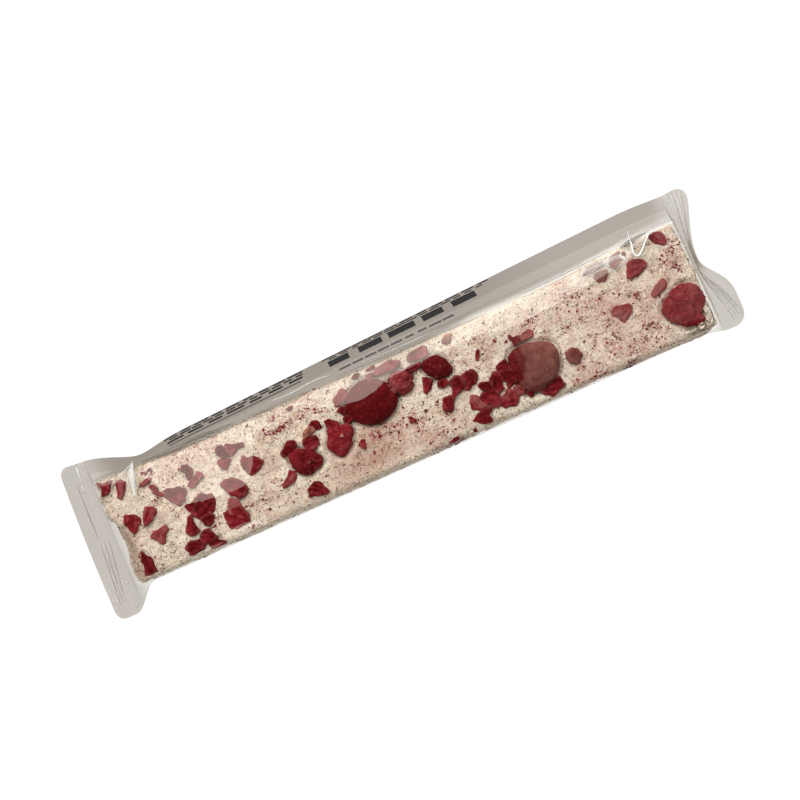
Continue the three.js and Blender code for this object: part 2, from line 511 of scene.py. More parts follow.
def raise_grid(grid, points):
    """Lifts each cell of a height grid to the highest point over it"""
    column = np.rint((points[:, 0] - GRID_X[0]) / GRID_STEP).astype(int)
    row = np.rint((points[:, 1] - GRID_Y[0]) / GRID_STEP).astype(int)
    inside = (column >= 0) & (column < len(GRID_X)) & (row >= 0) & (row < len(GRID_Y))
    np.maximum.at(grid, (column[inside], row[inside]), points[inside, 2])


def read_grid(grid, x, y):
    """Reads a height grid between its cells"""
    column = np.clip((np.asarray(x) - GRID_X[0]) / GRID_STEP, 0, len(GRID_X) - LAST_CELL)
    row = np.clip((np.asarray(y) - GRID_Y[0]) / GRID_STEP, 0, len(GRID_Y) - LAST_CELL)
    i, j = column.astype(int), row.astype(int)
    a, b = column - i, row - j
    near = grid[i, j] * (1 - a) + grid[i + 1, j] * a
    far = grid[i, j + 1] * (1 - a) + grid[i + 1, j + 1] * a
    return near * (1 - b) + far * b


bar_top = np.zeros((len(GRID_X), len(GRID_Y)))
raise_grid(bar_top, points_of(nougat.data))
print("bar top in the middle", round(float(read_grid(bar_top, 0.0, CENTRE_LINE)), 2), "mm")

# %% [markdown]
# A raspberry is a cluster of small round drupelets on a hollow core. Dried and pressed into the bar, it is
# a low dome. On some the drupelets still show as bumps, some are crumpled, some are smooth.
# Each dome rises in rings from its outline. Geometry Nodes scatter drupelets over the domes, and a fine
# remesh fuses them into one skin, so that the creases between them are soft, as in real fruit.

# %% Domes of the whole raspberries
DOME_RINGS = 12
DOME_SINK = 1.8
DRUPELET_RISE = 0.8
DOME_ROUNDING = 2.2
DOME_UNDERSIDE = ((1.0, 0.5), (0.95, 1.0), (0.0, 1.0))
DOME_UNEVEN = ((6.0, 0.8, 46), (2.8, 0.4, 46))
FRUIT_WELD = 0.01
TINY = 1e-6


def ring_faces(first, rings, count):
    """Quads between closed rings of so many points"""
    faces = []
    for ring in range(rings - 1):
        start = first + ring * count
        for side in range(count):
            after = (side + 1) % count
            faces.append((start + side, start + count + side, start + count + after, start + after))
    return faces


def weld(mesh, distance):
    """Joins points that lie on one another and turns the faces outwards"""
    shape = bmesh.new()
    shape.from_mesh(mesh)
    bmesh.ops.remove_doubles(shape, verts=shape.verts, dist=distance * MM)
    bmesh.ops.dissolve_degenerate(shape, edges=shape.edges, dist=distance * MM)
    bmesh.ops.recalc_face_normals(shape, faces=shape.faces)
    shape.to_mesh(mesh)
    shape.free()


def dome_points(name):
    """Rings of a low dome on its outline, from the crown out to the rim and in again below"""
    berry, line = BERRIES[name], berry_outlines[name]
    middle = line.mean(0)
    ground = float(read_grid(bar_top, *middle))
    crown = berry.rise - DRUPELET_RISE * berry.bumps
    shares = np.sin(np.linspace(0, np.pi / 2, DOME_RINGS))
    rings = [(share, crown * math.sqrt(1 - share ** DOME_ROUNDING)) for share in shares]
    rings += [(share, -DOME_SINK * depth) for share, depth in DOME_UNDERSIDE]
    inset = 1 - 2 * DRUPELET_RISE * berry.bumps / np.ptp(line, axis=0).mean()
    return np.concatenate([np.column_stack([middle + (line - middle) * share * inset,
                                            np.full(OUTLINE_SIDES, ground + height)])
                           for share, height in rings]), len(rings)


def dome_mesh():
    points, faces, bumps = [], [], []
    for name, berry in BERRIES.items():
        dome, rings = dome_points(name)
        faces += ring_faces(sum(map(len, points)), rings, OUTLINE_SIDES)
        uneven = layers(dome, DOME_UNEVEN)
        outward = dome - [*berry_outlines[name].mean(0), dome[:, 2].min()]
        outward /= np.linalg.norm(outward, axis=1, keepdims=True) + TINY
        points.append(dome + outward * (uneven * berry.wrinkles)[:, None])
        bumps.append(np.full(len(dome), berry.bumps))
    mesh = mesh_of("raspberries", np.concatenate(points), faces)
    set_attribute(mesh, "bumps", np.concatenate(bumps))
    weld(mesh, FRUIT_WELD)
    return mesh


raspberries = new_piece("raspberries", dome_mesh())
print("domes", len(BERRIES))


# %% Drupelets by Geometry Nodes
def set_inputs(modifier, tree, **values):
    """Sets a modifier's inputs by the identifiers of the tree's named sockets"""
    for item in tree.interface.items_tree:
        key = item.name.replace(" ", "_")
        if item.in_out == "INPUT" and key in values:
            modifier[item.identifier] = values[key]


def new_nodes(name, **inputs):
    """A geometry tree with a geometry in and out and these named number inputs"""
    tree = bpy.data.node_groups.new(name, "GeometryNodeTree")
    tree.interface.new_socket("Geometry", in_out="INPUT", socket_type="NodeSocketGeometry")
    for key, kind in inputs.items():
        tree.interface.new_socket(key.replace("_", " "), in_out="INPUT", socket_type=kind)
    tree.interface.new_socket("Geometry", in_out="OUTPUT", socket_type="NodeSocketGeometry")
    return tree, add(tree, "NodeGroupInput").outputs, add(tree, "NodeGroupOutput")


FLOAT = "NodeSocketFloat"
INTEGER = "NodeSocketInt"
MATERIAL = "NodeSocketMaterial"
DRUPELET_RADIUS = 1.7
DRUPELET_SPACING = 2.5
DRUPELETS_MOST = 1e6
DRUPELET_SIZES = (0.85, 1.1)
BUMPS_FULL = 0.4
BUMPS_LEAST = 0.35
SKIN_STEP = 0.22


def drupelet_nodes():
    tree, given, out = new_nodes("drupelets", Spacing=FLOAT, Radius=FLOAT, Sink=FLOAT, Seed=INTEGER)
    spots = add(tree, "GeometryNodeDistributePointsOnFaces", {"distribute_method": "POISSON"},
                Mesh=given["Geometry"], Distance_Min=given["Spacing"], Density_Max=DRUPELETS_MOST,
                Seed=given["Seed"])
    inwards = calculate_vector(tree, "SCALE", spots.outputs["Normal"],
                               Scale=calculate(tree, "MULTIPLY", given["Sink"], -1.0))
    sunk = add(tree, "GeometryNodeSetPosition", Geometry=spots.outputs["Points"], Offset=inwards)
    ball = add(tree, "GeometryNodeMeshIcoSphere", Radius=given["Radius"], Subdivisions=3)
    bumps = add(tree, "GeometryNodeInputNamedAttribute", {"data_type": "FLOAT"}, Name="bumps")
    shown = remap(tree, bumps.outputs["Attribute"], (0, BUMPS_FULL), (BUMPS_LEAST, 1))
    scale = calculate(tree, "MULTIPLY", random_value(tree, given["Seed"], *DRUPELET_SIZES), shown)
    placed = add(tree, "GeometryNodeInstanceOnPoints", Points=sunk.outputs["Geometry"],
                 Instance=ball.outputs["Mesh"], Scale=scale)
    real = add(tree, "GeometryNodeRealizeInstances", Geometry=placed.outputs["Instances"])
    both = add(tree, "GeometryNodeJoinGeometry")
    tree.links.new(real.outputs["Geometry"], both.inputs["Geometry"])
    tree.links.new(given["Geometry"], both.inputs["Geometry"])
    tree.links.new(both.outputs["Geometry"], out.inputs["Geometry"])
    return tree


drupelets = raspberries.modifiers.new("drupelets", "NODES")
drupelets.node_group = drupelet_nodes()
set_inputs(drupelets, drupelets.node_group, Spacing=DRUPELET_SPACING * MM, Radius=DRUPELET_RADIUS * MM,
           Sink=(DRUPELET_RADIUS - DRUPELET_RISE) * MM, Seed=5)
fuse = raspberries.modifiers.new("one skin", "REMESH")
fuse.mode = "VOXEL"
fuse.voxel_size = SKIN_STEP * MM
relax = raspberries.modifiers.new("soft creases", "SMOOTH")
relax.factor = 0.5
relax.iterations = 3
apply_modifiers(raspberries)
print("raspberry points", len(raspberries.data.vertices))


# %% Wrinkles of the dried skin, and how deep in a crease each point lies
def crease_depth(mesh, rounds):
    """Positive in creases and negative on bumps: how far a point lies below the mean of its neighbours"""
    points = points_of(mesh)
    normals = normals_of(mesh)
    edges = np.empty(len(mesh.edges) * 2, dtype=np.int32)
    mesh.edges.foreach_get("vertices", edges)
    a, b = edges.reshape(-1, 2).T
    count = np.bincount(np.concatenate([a, b]), minlength=len(points))[:, None]
    mean = points.copy()
    for _ in range(rounds):
        total = np.zeros_like(mean)
        np.add.at(total, a, mean[b])
        np.add.at(total, b, mean[a])
        mean = total / np.maximum(count, 1)
    return np.einsum("ij,ij->i", mean - points, normals)


def nearest(points, quality):
    """A quality of the berry that each point belongs to"""
    shares = np.array([berry_share(points, name)[0] for name in BERRIES])
    return np.array([getattr(berry, quality) for berry in BERRIES.values()])[shares.argmin(0)]


def folds(points, rows):
    """A net of thin lines, where random fields change sign: rows of size, weight, seed and width"""
    return sum(weight * np.exp(-(waves(points, size, seed) / width) ** 2)
               for size, weight, seed, width in rows)


SMOOTH_BERRY = "egg"
SMOOTH_REACH = 1.1
FLANK_AT = -2.6
FLANK_BEND = 0.8
FLANK_WAVES = ((2.0, 0.8, 44),)
FLANK_SOFT = (-0.6, 1.6)
FIBRE_STEP = 0.7
FIBRE_SWAY = ((3.0, 0.5, 43),)
FIBRE_STRENGTH = 0.6
FIBRE_UNEVEN = ((1.2, 0.4, 40),)
FIBRE_DEPTH = 0.12
FIBRE_TONE = 0.2
REDDER_NEAR_LEFT = 0.03
BLOTCHES = ((4.5, 0.25, 57), (1.6, 0.25, 58))
SKIN_WAVES = ((2.0, 0.26, 41), (0.9, 0.18, 42), (0.55, 0.09, 39))
SKIN_FOLDS = ((3.0, 0.34, 45, 0.10), (1.5, 0.16, 49, 0.14))
SKIN_MOTTLE = ((3.0, 0.30, 47), (1.1, 0.25, 48))
LEAST_WRINKLES = 0.15
BERRY_NEIGHBOURS = 8


def fibrous_flank(points):
    """1 on the left flank of the smooth berry, where its skin is gone and the fibres show"""
    along, across = (points[:, :2] - berry_outlines[SMOOTH_BERRY].mean(0)).T
    edge = FLANK_AT - np.maximum(FLANK_BEND - across, 0) + layers(points, FLANK_WAVES)
    return ease(edge - along, *FLANK_SOFT) * (berry_share(points, SMOOTH_BERRY)[0] < SMOOTH_REACH)


def smooth_berry_drift(points):
    """The smooth berry is redder towards its near left side, and blotched"""
    along, across = (points[:, :2] - berry_outlines[SMOOTH_BERRY].mean(0)).T
    drift = layers(points, BLOTCHES) - REDDER_NEAR_LEFT * (along + across)
    return drift * (berry_share(points, SMOOTH_BERRY)[0] < SMOOTH_REACH)


berry_points = points_of(raspberries.data)
berry_wrinkles = nearest(berry_points, "wrinkles")
berry_flank = fibrous_flank(berry_points)
skin_push = layers(berry_points, SKIN_WAVES) - folds(berry_points, SKIN_FOLDS)
fibre_phase = (berry_points[:, 0] + layers(berry_points, FIBRE_SWAY)) * 2 * np.pi / FIBRE_STEP
fibres = np.sin(fibre_phase) * (FIBRE_STRENGTH + layers(berry_points, FIBRE_UNEVEN))
skin_push *= LEAST_WRINKLES + (1 - LEAST_WRINKLES) * berry_wrinkles
skin_push += FIBRE_DEPTH * fibres * berry_flank
set_points(raspberries.data, berry_points + normals_of(raspberries.data) * skin_push[:, None])
berry_creases = crease_depth(raspberries.data, BERRY_NEIGHBOURS)
# Over most of the smooth berry the tone is painted reflection of the film; on the fibrous flank it is the
# fruit's own
berry_tone = nearest(berry_points, "tone") + smooth_berry_drift(berry_points)
berry_tone = berry_tone * (1 - berry_flank) + FIBRE_TONE * (1 + fibres) * berry_flank
set_attribute(raspberries.data, "crease", berry_creases)
set_attribute(raspberries.data, "tone", berry_tone + layers(berry_points, SKIN_MOTTLE))
print("crease depths", np.percentile(berry_creases, (5, 50, 95)).round(3))
smooth_shading(raspberries.data)

# %% [markdown]
# Broken raspberries leave drupelet skins and shreds on the bar, a few millimetres long, with torn outlines.
# Each is a low closed shell on its outline: cupped, tilted a little, and ribbed by veins that fan out from
# its tip, the point of the outline that is furthest from the middle. Its tone carries painted shade towards
# the rim, most on the far side, and painted highlight on the vein ridges with painted shade between them.

# %% Bits of raspberry: tone, and the corners of the outline, along and across
BITS = [
    (0.7, [(-100.4, 17.6), (-98.8, 16.5), (-95.0, 16.6), (-96.6, 15.0), (-97.4, 13.2), (-100.8, 12.8),
           (-99.4, 15.0)]),
    (1.5, [(-93.8, 15.2), (-92.0, 15.2), (-91.2, 13.6), (-92.8, 10.4), (-94.0, 9.0), (-95.2, 10.0),
           (-94.4, 12.8)]),
    (0.75, [(-96.2, 3.9), (-93.4, 3.9), (-91.5, 2.0), (-91.8, -0.6), (-95.2, -2.7), (-95.8, -0.7),
            (-96.7, 1.2)]),
    (1.4, [(-88.6, 4.1), (-86.0, 3.3), (-85.6, 0.8), (-88.0, -1.0), (-91.4, -1.8), (-90.5, 0.6),
           (-89.9, 2.9)]),
    (1.45, [(-84.6, -3.6), (-84.8, -5.6), (-86.2, -6.8), (-86.8, -8.8), (-88.2, -9.1), (-90.9, -6.2),
            (-90.6, -4.8), (-87.0, -4.1)]),
    (0.35, [(-95.4, -8.2), (-94.2, -10.4), (-92.8, -12.2), (-93.3, -14.6), (-92.8, -16.4), (-95.8, -16.6),
            (-97.3, -15.6), (-96.6, -13.2), (-96.6, -10.6)]),
    (2.3, [(-87.5, 11.2), (-85.0, 12.1), (-83.0, 11.9), (-83.0, 11.1), (-86.8, 9.9)]),
    (0.7, [(-85.5, 14.6), (-84.4, 14.4), (-83.6, 13.4), (-84.4, 13.2)]),
    (0.1, [(-82.8, 14.7), (-81.9, 14.5), (-82.0, 13.6), (-82.9, 13.8)]),
    (2.6, [(-84.9, 9.6), (-82.9, 9.5), (-82.0, 7.6), (-82.6, 6.3), (-84.6, 7.9)]),
    (2.6, [(-84.6, 7.4), (-81.6, 6.5), (-80.8, 4.9), (-82.6, 4.6), (-84.0, 6.0)]),
    (0.2, [(-81.6, 6.4), (-79.6, 6.6), (-77.4, 5.5), (-75.2, 5.4), (-74.1, 3.6), (-75.8, 1.6),
           (-75.6, 0.2), (-79.0, -0.2), (-80.4, 1.6), (-81.6, 4.8)]),
    (0.1, [(-73.7, 10.2), (-72.6, 11.5), (-70.7, 11.2), (-70.0, 9.2), (-70.2, 7.0), (-72.7, 6.0),
           (-72.6, 8.6)]),
    (1.4, [(-73.7, 4.6), (-69.2, 7.7), (-67.9, 6.8), (-67.7, 5.4), (-71.8, 3.0), (-73.2, 3.4)]),
    (-0.2, [(-61.0, 12.0), (-59.3, 12.5), (-58.1, 11.6), (-57.0, 7.6), (-59.8, 7.8), (-61.0, 10.2)]),
    (0.7, [(-58.2, 10.2), (-56.8, 11.8), (-54.6, 10.6), (-51.8, 10.3), (-51.9, 8.4), (-53.8, 8.6),
           (-57.2, 7.2)]),
    (0.8, [(-62.4, 7.6), (-60.2, 8.3), (-57.4, 7.1), (-58.2, 5.4), (-60.0, 4.0), (-61.6, 5.6)]),
    (0.8, [(-55.2, 4.8), (-53.3, 6.2), (-52.3, 4.9), (-50.7, 5.0), (-48.2, 2.2), (-48.8, 1.2),
           (-52.2, -0.9), (-54.4, -0.4), (-55.4, 2.2)]),
    (0.6, [(-64.0, 0.6), (-62.4, 1.5), (-59.4, 1.4), (-57.4, -0.6), (-55.9, -3.0), (-57.6, -5.4),
           (-60.2, -6.0), (-61.4, -4.4), (-62.8, -3.4)]),
    (0.8, [(-67.4, -8.2), (-64.8, -7.2), (-60.8, -8.0), (-59.5, -11.6), (-60.6, -14.0), (-64.6, -14.7),
           (-66.6, -13.6)]),
    (2.4, [(-63.6, -4.4), (-61.8, -4.4), (-60.6, -6.4), (-60.5, -9.4), (-62.4, -10.6), (-65.2, -9.2),
           (-64.9, -7.0)]),
    (0.15, [(-77.2, -0.5), (-73.2, -0.8), (-74.0, -3.2), (-75.4, -3.9), (-76.7, -2.8)]),
    (0.55, [(-73.8, -0.6), (-71.8, 1.1), (-69.6, 0.3), (-67.5, -1.0), (-67.1, -4.2), (-69.4, -6.6),
            (-73.2, -6.9), (-76.4, -4.8), (-75.6, -3.0)]),
    (0.12, [(-74.0, -6.2), (-69.5, -6.0), (-70.4, -9.2), (-72.2, -9.9), (-73.8, -9.2)]),
    (0.7, [(-77.2, -3.8), (-75.9, -4.0), (-76.2, -7.4), (-75.4, -10.0), (-78.2, -10.9), (-80.1, -9.8),
           (-79.8, -8.0), (-78.4, -6.0)]),
    (0.04, [(-82.2, -13.4), (-80.8, -11.7), (-78.6, -11.5), (-76.6, -12.6), (-75.6, -14.6), (-76.6, -15.8),
            (-78.4, -15.9), (-80.2, -16.8), (-81.9, -15.6)]),
    (0.1, [(-76.2, -11.2), (-74.2, -9.9), (-72.4, -10.4), (-71.8, -13.0), (-70.8, -14.2), (-74.2, -15.2),
           (-76.6, -13.8)]),
    (0.35, [(-75.0, -15.8), (-72.4, -15.1), (-69.7, -17.0), (-69.8, -18.0), (-74.6, -18.0)]),
    (0.4, [(-60.4, -15.8), (-59.5, -14.9), (-58.9, -15.2), (-59.8, -16.3)]),
    (0.2, [(-53.0, -12.6), (-52.2, -12.3), (-52.2, -13.2), (-52.8, -13.3)]),
    (0.2, [(-49.0, 14.6), (-48.0, 14.9), (-48.0, 14.2), (-48.8, 13.9)]),
    (0.7, [(-35.0, 14.0), (-33.8, 14.6), (-32.6, 14.3), (-33.2, 13.1), (-34.4, 13.1)]),
    (0.15, [(-41.4, 2.6), (-39.4, 4.4), (-37.2, 4.2), (-36.0, 2.8), (-37.2, 0.8), (-39.6, 0.8),
            (-42.4, 0.4), (-42.4, 1.9)]),
    (0.35, [(-34.8, 2.2), (-33.2, 3.2), (-30.2, 3.1), (-29.3, 1.2), (-30.6, -0.9), (-32.8, -1.5),
            (-34.6, 0.2)]),
    (-3.5, [(-34.0, 2.9), (-33.4, 4.8), (-31.2, 6.2), (-29.2, 5.7), (-28.8, 4.2), (-31.4, 3.4)]),
    (0.5, [(-30.8, 6.4), (-28.8, 7.7), (-27.4, 7.2), (-26.4, 4.2), (-28.2, 3.5), (-29.6, 4.8)]),
    (0.6, [(-26.0, 5.9), (-24.0, 5.9), (-21.0, 3.5), (-21.4, 2.1), (-25.4, 2.7)]),
    (0.3, [(-20.7, 7.0), (-18.6, 8.0), (-17.0, 7.2), (-17.2, 5.2), (-19.4, 4.8)]),
    (0.25, [(-20.2, 3.7), (-18.6, 4.9), (-16.8, 4.6), (-17.0, 2.0), (-19.4, 1.6)]),
    (1.05, [(-42.0, -4.0), (-40.6, -5.2), (-40.2, -6.9), (-42.0, -8.1), (-45.8, -8.8), (-46.4, -7.8),
            (-43.6, -5.8)]),
    (0.75, [(-36.4, -10.3), (-34.6, -11.1), (-33.5, -13.4), (-32.8, -15.8), (-33.8, -16.2), (-37.4, -14.9),
            (-40.0, -14.6), (-39.2, -12.2)]),
    (1.4, [(-18.6, -5.6), (-17.0, -4.1), (-15.9, -4.8), (-16.2, -6.6), (-17.4, -8.2)]),
    (-4.0, [(-23.2, -1.0), (-21.6, -0.1), (-21.8, -1.8)]),
    (1.2, [(-20.2, 10.6), (-18.6, 11.7), (-16.4, 12.8), (-14.9, 11.6), (-15.6, 9.6), (-17.6, 8.2),
           (-20.2, 8.2)]),
    (-0.2, [(-12.0, 14.6), (-10.2, 15.6), (-8.8, 15.2), (-9.4, 14.2), (-11.6, 13.9)]),
    (0.9, [(-7.0, 15.2), (-3.6, 15.6), (-3.9, 14.4), (-6.6, 14.3)]),
    (1.8, [(-7.6, 13.6), (-5.2, 13.8), (-5.8, 11.6), (-6.9, 9.8), (-7.8, 11.4)]),
    (1.4, [(-4.9, 13.6), (-2.0, 14.9), (2.6, 14.9), (4.5, 13.2), (4.0, 11.8), (-2.6, 11.5), (-4.8, 12.2)]),
    (1.3, [(6.6, 13.4), (9.2, 14.7), (13.4, 15.1), (13.9, 12.4), (12.6, 11.2), (8.0, 11.4), (6.3, 12.0)]),
    (-2.4, [(19.1, 14.2), (20.4, 15.0), (22.9, 14.9), (22.4, 13.3), (21.4, 11.9), (19.6, 11.9),
            (18.8, 13.0)]),
    (0.3, [(4.2, 10.2), (6.6, 10.9), (9.6, 11.1), (10.0, 9.2), (8.2, 8.5), (4.8, 8.8)]),
    (0.85, [(8.6, 5.7), (10.2, 5.1), (11.4, 3.4), (9.4, 0.8), (7.8, 0.3), (7.2, 1.6)]),
    (0.45, [(12.6, 2.5), (14.2, 2.9), (15.5, 2.4), (15.8, 0.6), (13.8, -0.4), (11.8, 0.7)]),
    (0.35, [(15.6, 0.9), (17.6, 2.0), (19.4, 1.5), (20.6, 0.3), (20.5, -2.0), (18.8, -3.1), (16.8, -4.0),
            (14.8, -5.6), (13.6, -5.0), (15.8, -2.0)]),
    (0.25, [(19.6, 0.6), (21.0, 1.9), (24.0, 1.6), (25.2, 0.4), (25.2, -1.2), (23.8, -2.9), (22.0, -3.2),
            (20.7, -4.4), (18.8, -3.0), (19.4, -1.4)]),
    (0.3, [(10.6, -5.2), (12.0, -3.1), (14.2, -2.8), (15.5, -4.0), (14.0, -7.4), (12.8, -8.4),
           (11.0, -7.2)]),
    (0.6, [(26.2, 3.9), (27.8, 6.7), (28.8, 6.3), (28.0, 4.2), (27.1, 3.0)]),
    (1.45, [(18.9, -9.0), (19.4, -7.2), (20.4, -6.0), (22.5, -6.7), (23.0, -9.4), (24.5, -11.3),
            (21.4, -11.6), (19.2, -10.4)]),
    (0.6, [(22.5, -7.4), (24.2, -6.4), (26.8, -6.4), (28.8, -7.2), (28.9, -9.0), (28.2, -10.4),
           (28.4, -12.4), (25.8, -12.6), (24.8, -11.0), (23.0, -9.8)]),
    (0.05, [(23.6, -4.0), (25.2, -3.0), (27.0, -3.9), (28.2, -4.9), (28.6, -7.4), (26.4, -7.3),
            (24.8, -6.4)]),
    (0.5, [(27.4, -4.0), (28.4, -2.4), (30.0, -1.8), (31.6, -2.4), (32.0, -4.6), (31.4, -6.4),
           (31.2, -8.6), (29.6, -8.9), (28.2, -8.8), (27.6, -6.8)]),
    (0.05, [(31.3, -1.0), (33.0, 0.2), (35.2, 0.2), (35.9, -2.7), (34.2, -4.2), (31.8, -2.9)]),
    (-0.3, [(31.0, -2.4), (33.4, -2.6), (36.2, -2.4), (36.8, -4.6), (36.3, -7.4), (34.6, -8.4),
            (32.2, -8.7), (32.0, -6.2), (31.2, -5.0)]),
    (1.0, [(27.7, -12.0), (30.0, -9.8), (31.8, -8.8), (33.6, -9.8), (34.4, -11.6), (33.8, -14.1),
           (31.2, -14.5), (28.6, -13.9)]),
    (1.8, [(33.5, -8.6), (35.8, -8.6), (36.9, -10.6), (36.2, -12.2), (34.4, -12.4)]),
    (0.3, [(36.8, -11.8), (39.2, -12.6), (39.0, -14.1), (37.6, -14.2)]),
    (0.1, [(40.5, -14.8), (42.2, -12.8), (45.0, -12.6), (47.4, -10.8), (48.6, -12.6), (49.6, -15.6),
           (46.6, -16.6), (44.2, -17.5), (43.0, -15.8)]),
    (0.4, [(17.8, -13.4), (19.6, -11.8), (22.4, -11.6), (24.8, -10.8), (25.8, -12.2), (23.4, -13.8),
           (24.0, -16.2), (21.0, -15.8), (18.6, -14.8)]),
    (0.7, [(38.5, 6.0), (39.3, 7.0), (40.2, 5.7), (42.5, 5.4), (41.2, 2.7), (40.0, 2.5)]),
    (2.2, [(41.8, 4.2), (43.6, 5.9), (45.8, 6.0), (46.9, 4.7), (45.8, 3.3), (42.0, 2.9)]),
    (0.1, [(7.8, -17.6), (10.0, -17.0), (11.6, -16.8), (11.8, -18.0), (8.4, -18.1)]),
    (0.2, [(16.6, -16.9), (17.9, -16.7), (17.8, -18.0), (16.7, -18.0)]),
    (0.8, [(-0.8, -4.2), (0.4, -4.1), (1.6, -5.7), (0.8, -6.6), (-0.2, -5.4)]),
    (1.0, [(4.9, -4.0), (5.9, -3.9), (5.7, -4.8), (5.1, -4.8)]),
    (0.1, [(0.2, -9.2), (1.0, -9.1), (0.9, -9.8), (0.3, -9.8)]),
    (-2.2, [(52.6, -7.2), (53.6, -5.4), (55.4, -5.0), (57.6, -6.2), (58.1, -7.8), (57.2, -9.6),
            (55.4, -10.6), (53.4, -9.6)]),
    (-2.5, [(71.0, 12.5), (72.4, 13.5), (76.1, 13.1), (75.6, 11.0), (74.2, 9.6), (71.9, 10.5)]),
    (1.9, [(71.6, -0.4), (73.6, 1.5), (75.4, 1.1), (78.4, -0.1), (78.4, -1.9), (76.6, -3.6), (74.6, -4.7),
           (73.2, -2.6)]),
    (1.3, [(80.9, 8.4), (83.1, 12.4), (86.0, 12.7), (88.5, 10.0), (87.8, 8.6), (84.6, 6.7), (82.2, 7.0)]),
    (1.9, [(85.8, 0.6), (88.0, 2.5), (91.0, 3.4), (92.3, 2.2), (92.0, 0.5), (86.4, -1.4)]),
    (1.4, [(92.3, 17.0), (93.6, 17.9), (96.6, 17.8), (97.8, 14.6), (97.2, 12.5), (94.8, 13.5),
           (92.8, 15.6)]),
    (2.4, [(68.6, 15.0), (70.4, 16.4), (76.8, 16.3), (76.2, 15.2), (71.8, 14.2), (69.0, 14.0)]),
    (2.4, [(77.6, 15.8), (81.2, 17.0), (82.3, 16.7), (80.8, 13.6), (79.0, 12.2), (77.6, 12.8)]),
    (0.4, [(82.6, 15.9), (83.6, 16.1), (83.8, 14.9), (82.8, 14.8)]),
    # These two small pale bits are painted highlights: glints on the smooth berry and on the velvet berry
    (2.6, [(44.8, -8.4), (45.6, -7.5), (46.2, -8.1), (45.6, -9.0)]),
    (1.4, [(-36.2, -4.0), (-35.2, -3.6), (-34.6, -4.6), (-35.6, -5.0)]),
]

# %% Shells of the bits
BIT_RISE = 0.85
BIT_SINK = 1.2
BIT_RINGS = 10
BIT_TILT = math.radians(5)
FAR_RIM_SHADE = 0.45
RIM_SHADE = 0.35
RIM_SHARPNESS = 3
TONE_DRIFT = 0.8
OUTLINE_RAGGED = ((1.5, 0.12, 56), (0.7, 0.07, 56))
KEPT_FROM_LOW_EDGES = np.array([0.4, 0.3])
KEPT_FROM_HIGH_EDGES = np.array([0.8, 0.3])
BIT_RISES = (0.7, 1.25)
BIT_FULL_REACH = 1.7
BIT_LIFT = 0.1
BIT_EDGE = 6
BIT_CUPS = (0.0, 0.4)
BIT_CUP_FORM = 1.5
BIT_SAMPLES = (0.0, 0.4, 0.7, 0.9)
BIT_UNDERSIDE = ((0.95, 0.6), (0.6, 1.0), (0.0, 1.0))
BIT_MOTTLE = ((2.4, 0.6, 53), (1.0, 0.5, 54))
BIT_WAVES = ((1.7, 0.16, 51), (0.8, 0.10, 52))
BIT_FOLDS = ((2.2, 0.08, 55, 0.12),)
BIT_NEIGHBOURS = 4
VEIN_RISE = 0.06
VEIN_HIGHLIGHT_AND_SHADE = 0.2
VEINS_PER_RADIAN = (13, 22)
VEIN_PHASES = (0, 6)
VEIN_START = 1.15
VEIN_FADE = 4
BIT_SEED = 17
random = np.random.default_rng(BIT_SEED)
fruit_top = bar_top.copy()
raise_grid(fruit_top, points_of(raspberries.data))


def kept_on_bar(line):
    """Moves an outline that would hang over the bar's edge back onto its top"""
    far = far_side(line[:, 0].max())
    low = np.array([-HALF_LENGTH, CENTRE_LINE + BAR_NEAR]) + KEPT_FROM_LOW_EDGES
    high = np.array([HALF_LENGTH, CENTRE_LINE + far]) - KEPT_FROM_HIGH_EDGES
    return line + np.maximum(low - line.min(0), 0) - np.maximum(line.max(0) - high, 0)


def bit_shell(corners):
    """Rings of a low closed shell, from its crown out to its rim and in again below, and their tones"""
    smooth = outline_on_bar(corners, BAR_HEIGHT + BIT_RISE / 2, BIT_CUTS)
    ragged = 1 + layers(np.column_stack([smooth, np.zeros(OUTLINE_SIDES)]), OUTLINE_RAGGED)
    line = kept_on_bar(smooth.mean(0) + (smooth - smooth.mean(0)) * ragged[:, None])
    middle = line.mean(0)
    arms = line - middle
    reach = np.hypot(arms[:, 0], arms[:, 1])
    tip = arms[reach.argmax()]
    rise = BIT_RISE * random.uniform(*BIT_RISES) * min(1, reach.mean() / BIT_FULL_REACH)
    cup = random.uniform(*BIT_CUPS)
    tilt = random.uniform(-BIT_TILT, BIT_TILT, 2)
    veins_per_radian = random.uniform(*VEINS_PER_RADIAN)
    phase = random.uniform(*VEIN_PHASES)
    under = middle + np.concatenate([arms * share for share in BIT_SAMPLES])
    ground = float(np.median(read_grid(fruit_top, *under.T))) + BIT_LIFT
    far_way = arms[:, 1] / reach
    drift = random.uniform(-TONE_DRIFT, TONE_DRIFT, 2) / reach.mean()
    points, tones = [], []
    for share in np.sin(np.linspace(0, np.pi / 2, BIT_RINGS)):
        place = arms * share
        from_tip = place - VEIN_START * tip
        angle = np.arctan2(tip[0] * from_tip[:, 1] - tip[1] * from_tip[:, 0], -from_tip @ tip)
        vein = np.cos(veins_per_radian * angle + phase) * min(1, VEIN_FADE * (1 - share))
        dome = math.sqrt(1 - share ** BIT_EDGE) - cup * (1 - share ** 2) ** BIT_CUP_FORM
        height = ground + rise * dome + VEIN_RISE * vein + place @ tilt
        points.append(np.column_stack([middle + place, height]))
        # Painted shade and highlight: the tone rises on vein ridges and falls between them, and falls towards
        # the rim, most on the far side
        rim = share ** RIM_SHARPNESS * (FAR_RIM_SHADE * far_way + RIM_SHADE)
        tones.append(VEIN_HIGHLIGHT_AND_SHADE * vein + place @ drift - rim)
    for share, depth in BIT_UNDERSIDE:
        below = np.full(OUTLINE_SIDES, ground - BIT_SINK * depth)
        points.append(np.column_stack([middle + arms * share, below]))
        tones.append(np.zeros(OUTLINE_SIDES))
    return np.concatenate(points), np.concatenate(tones), len(points)


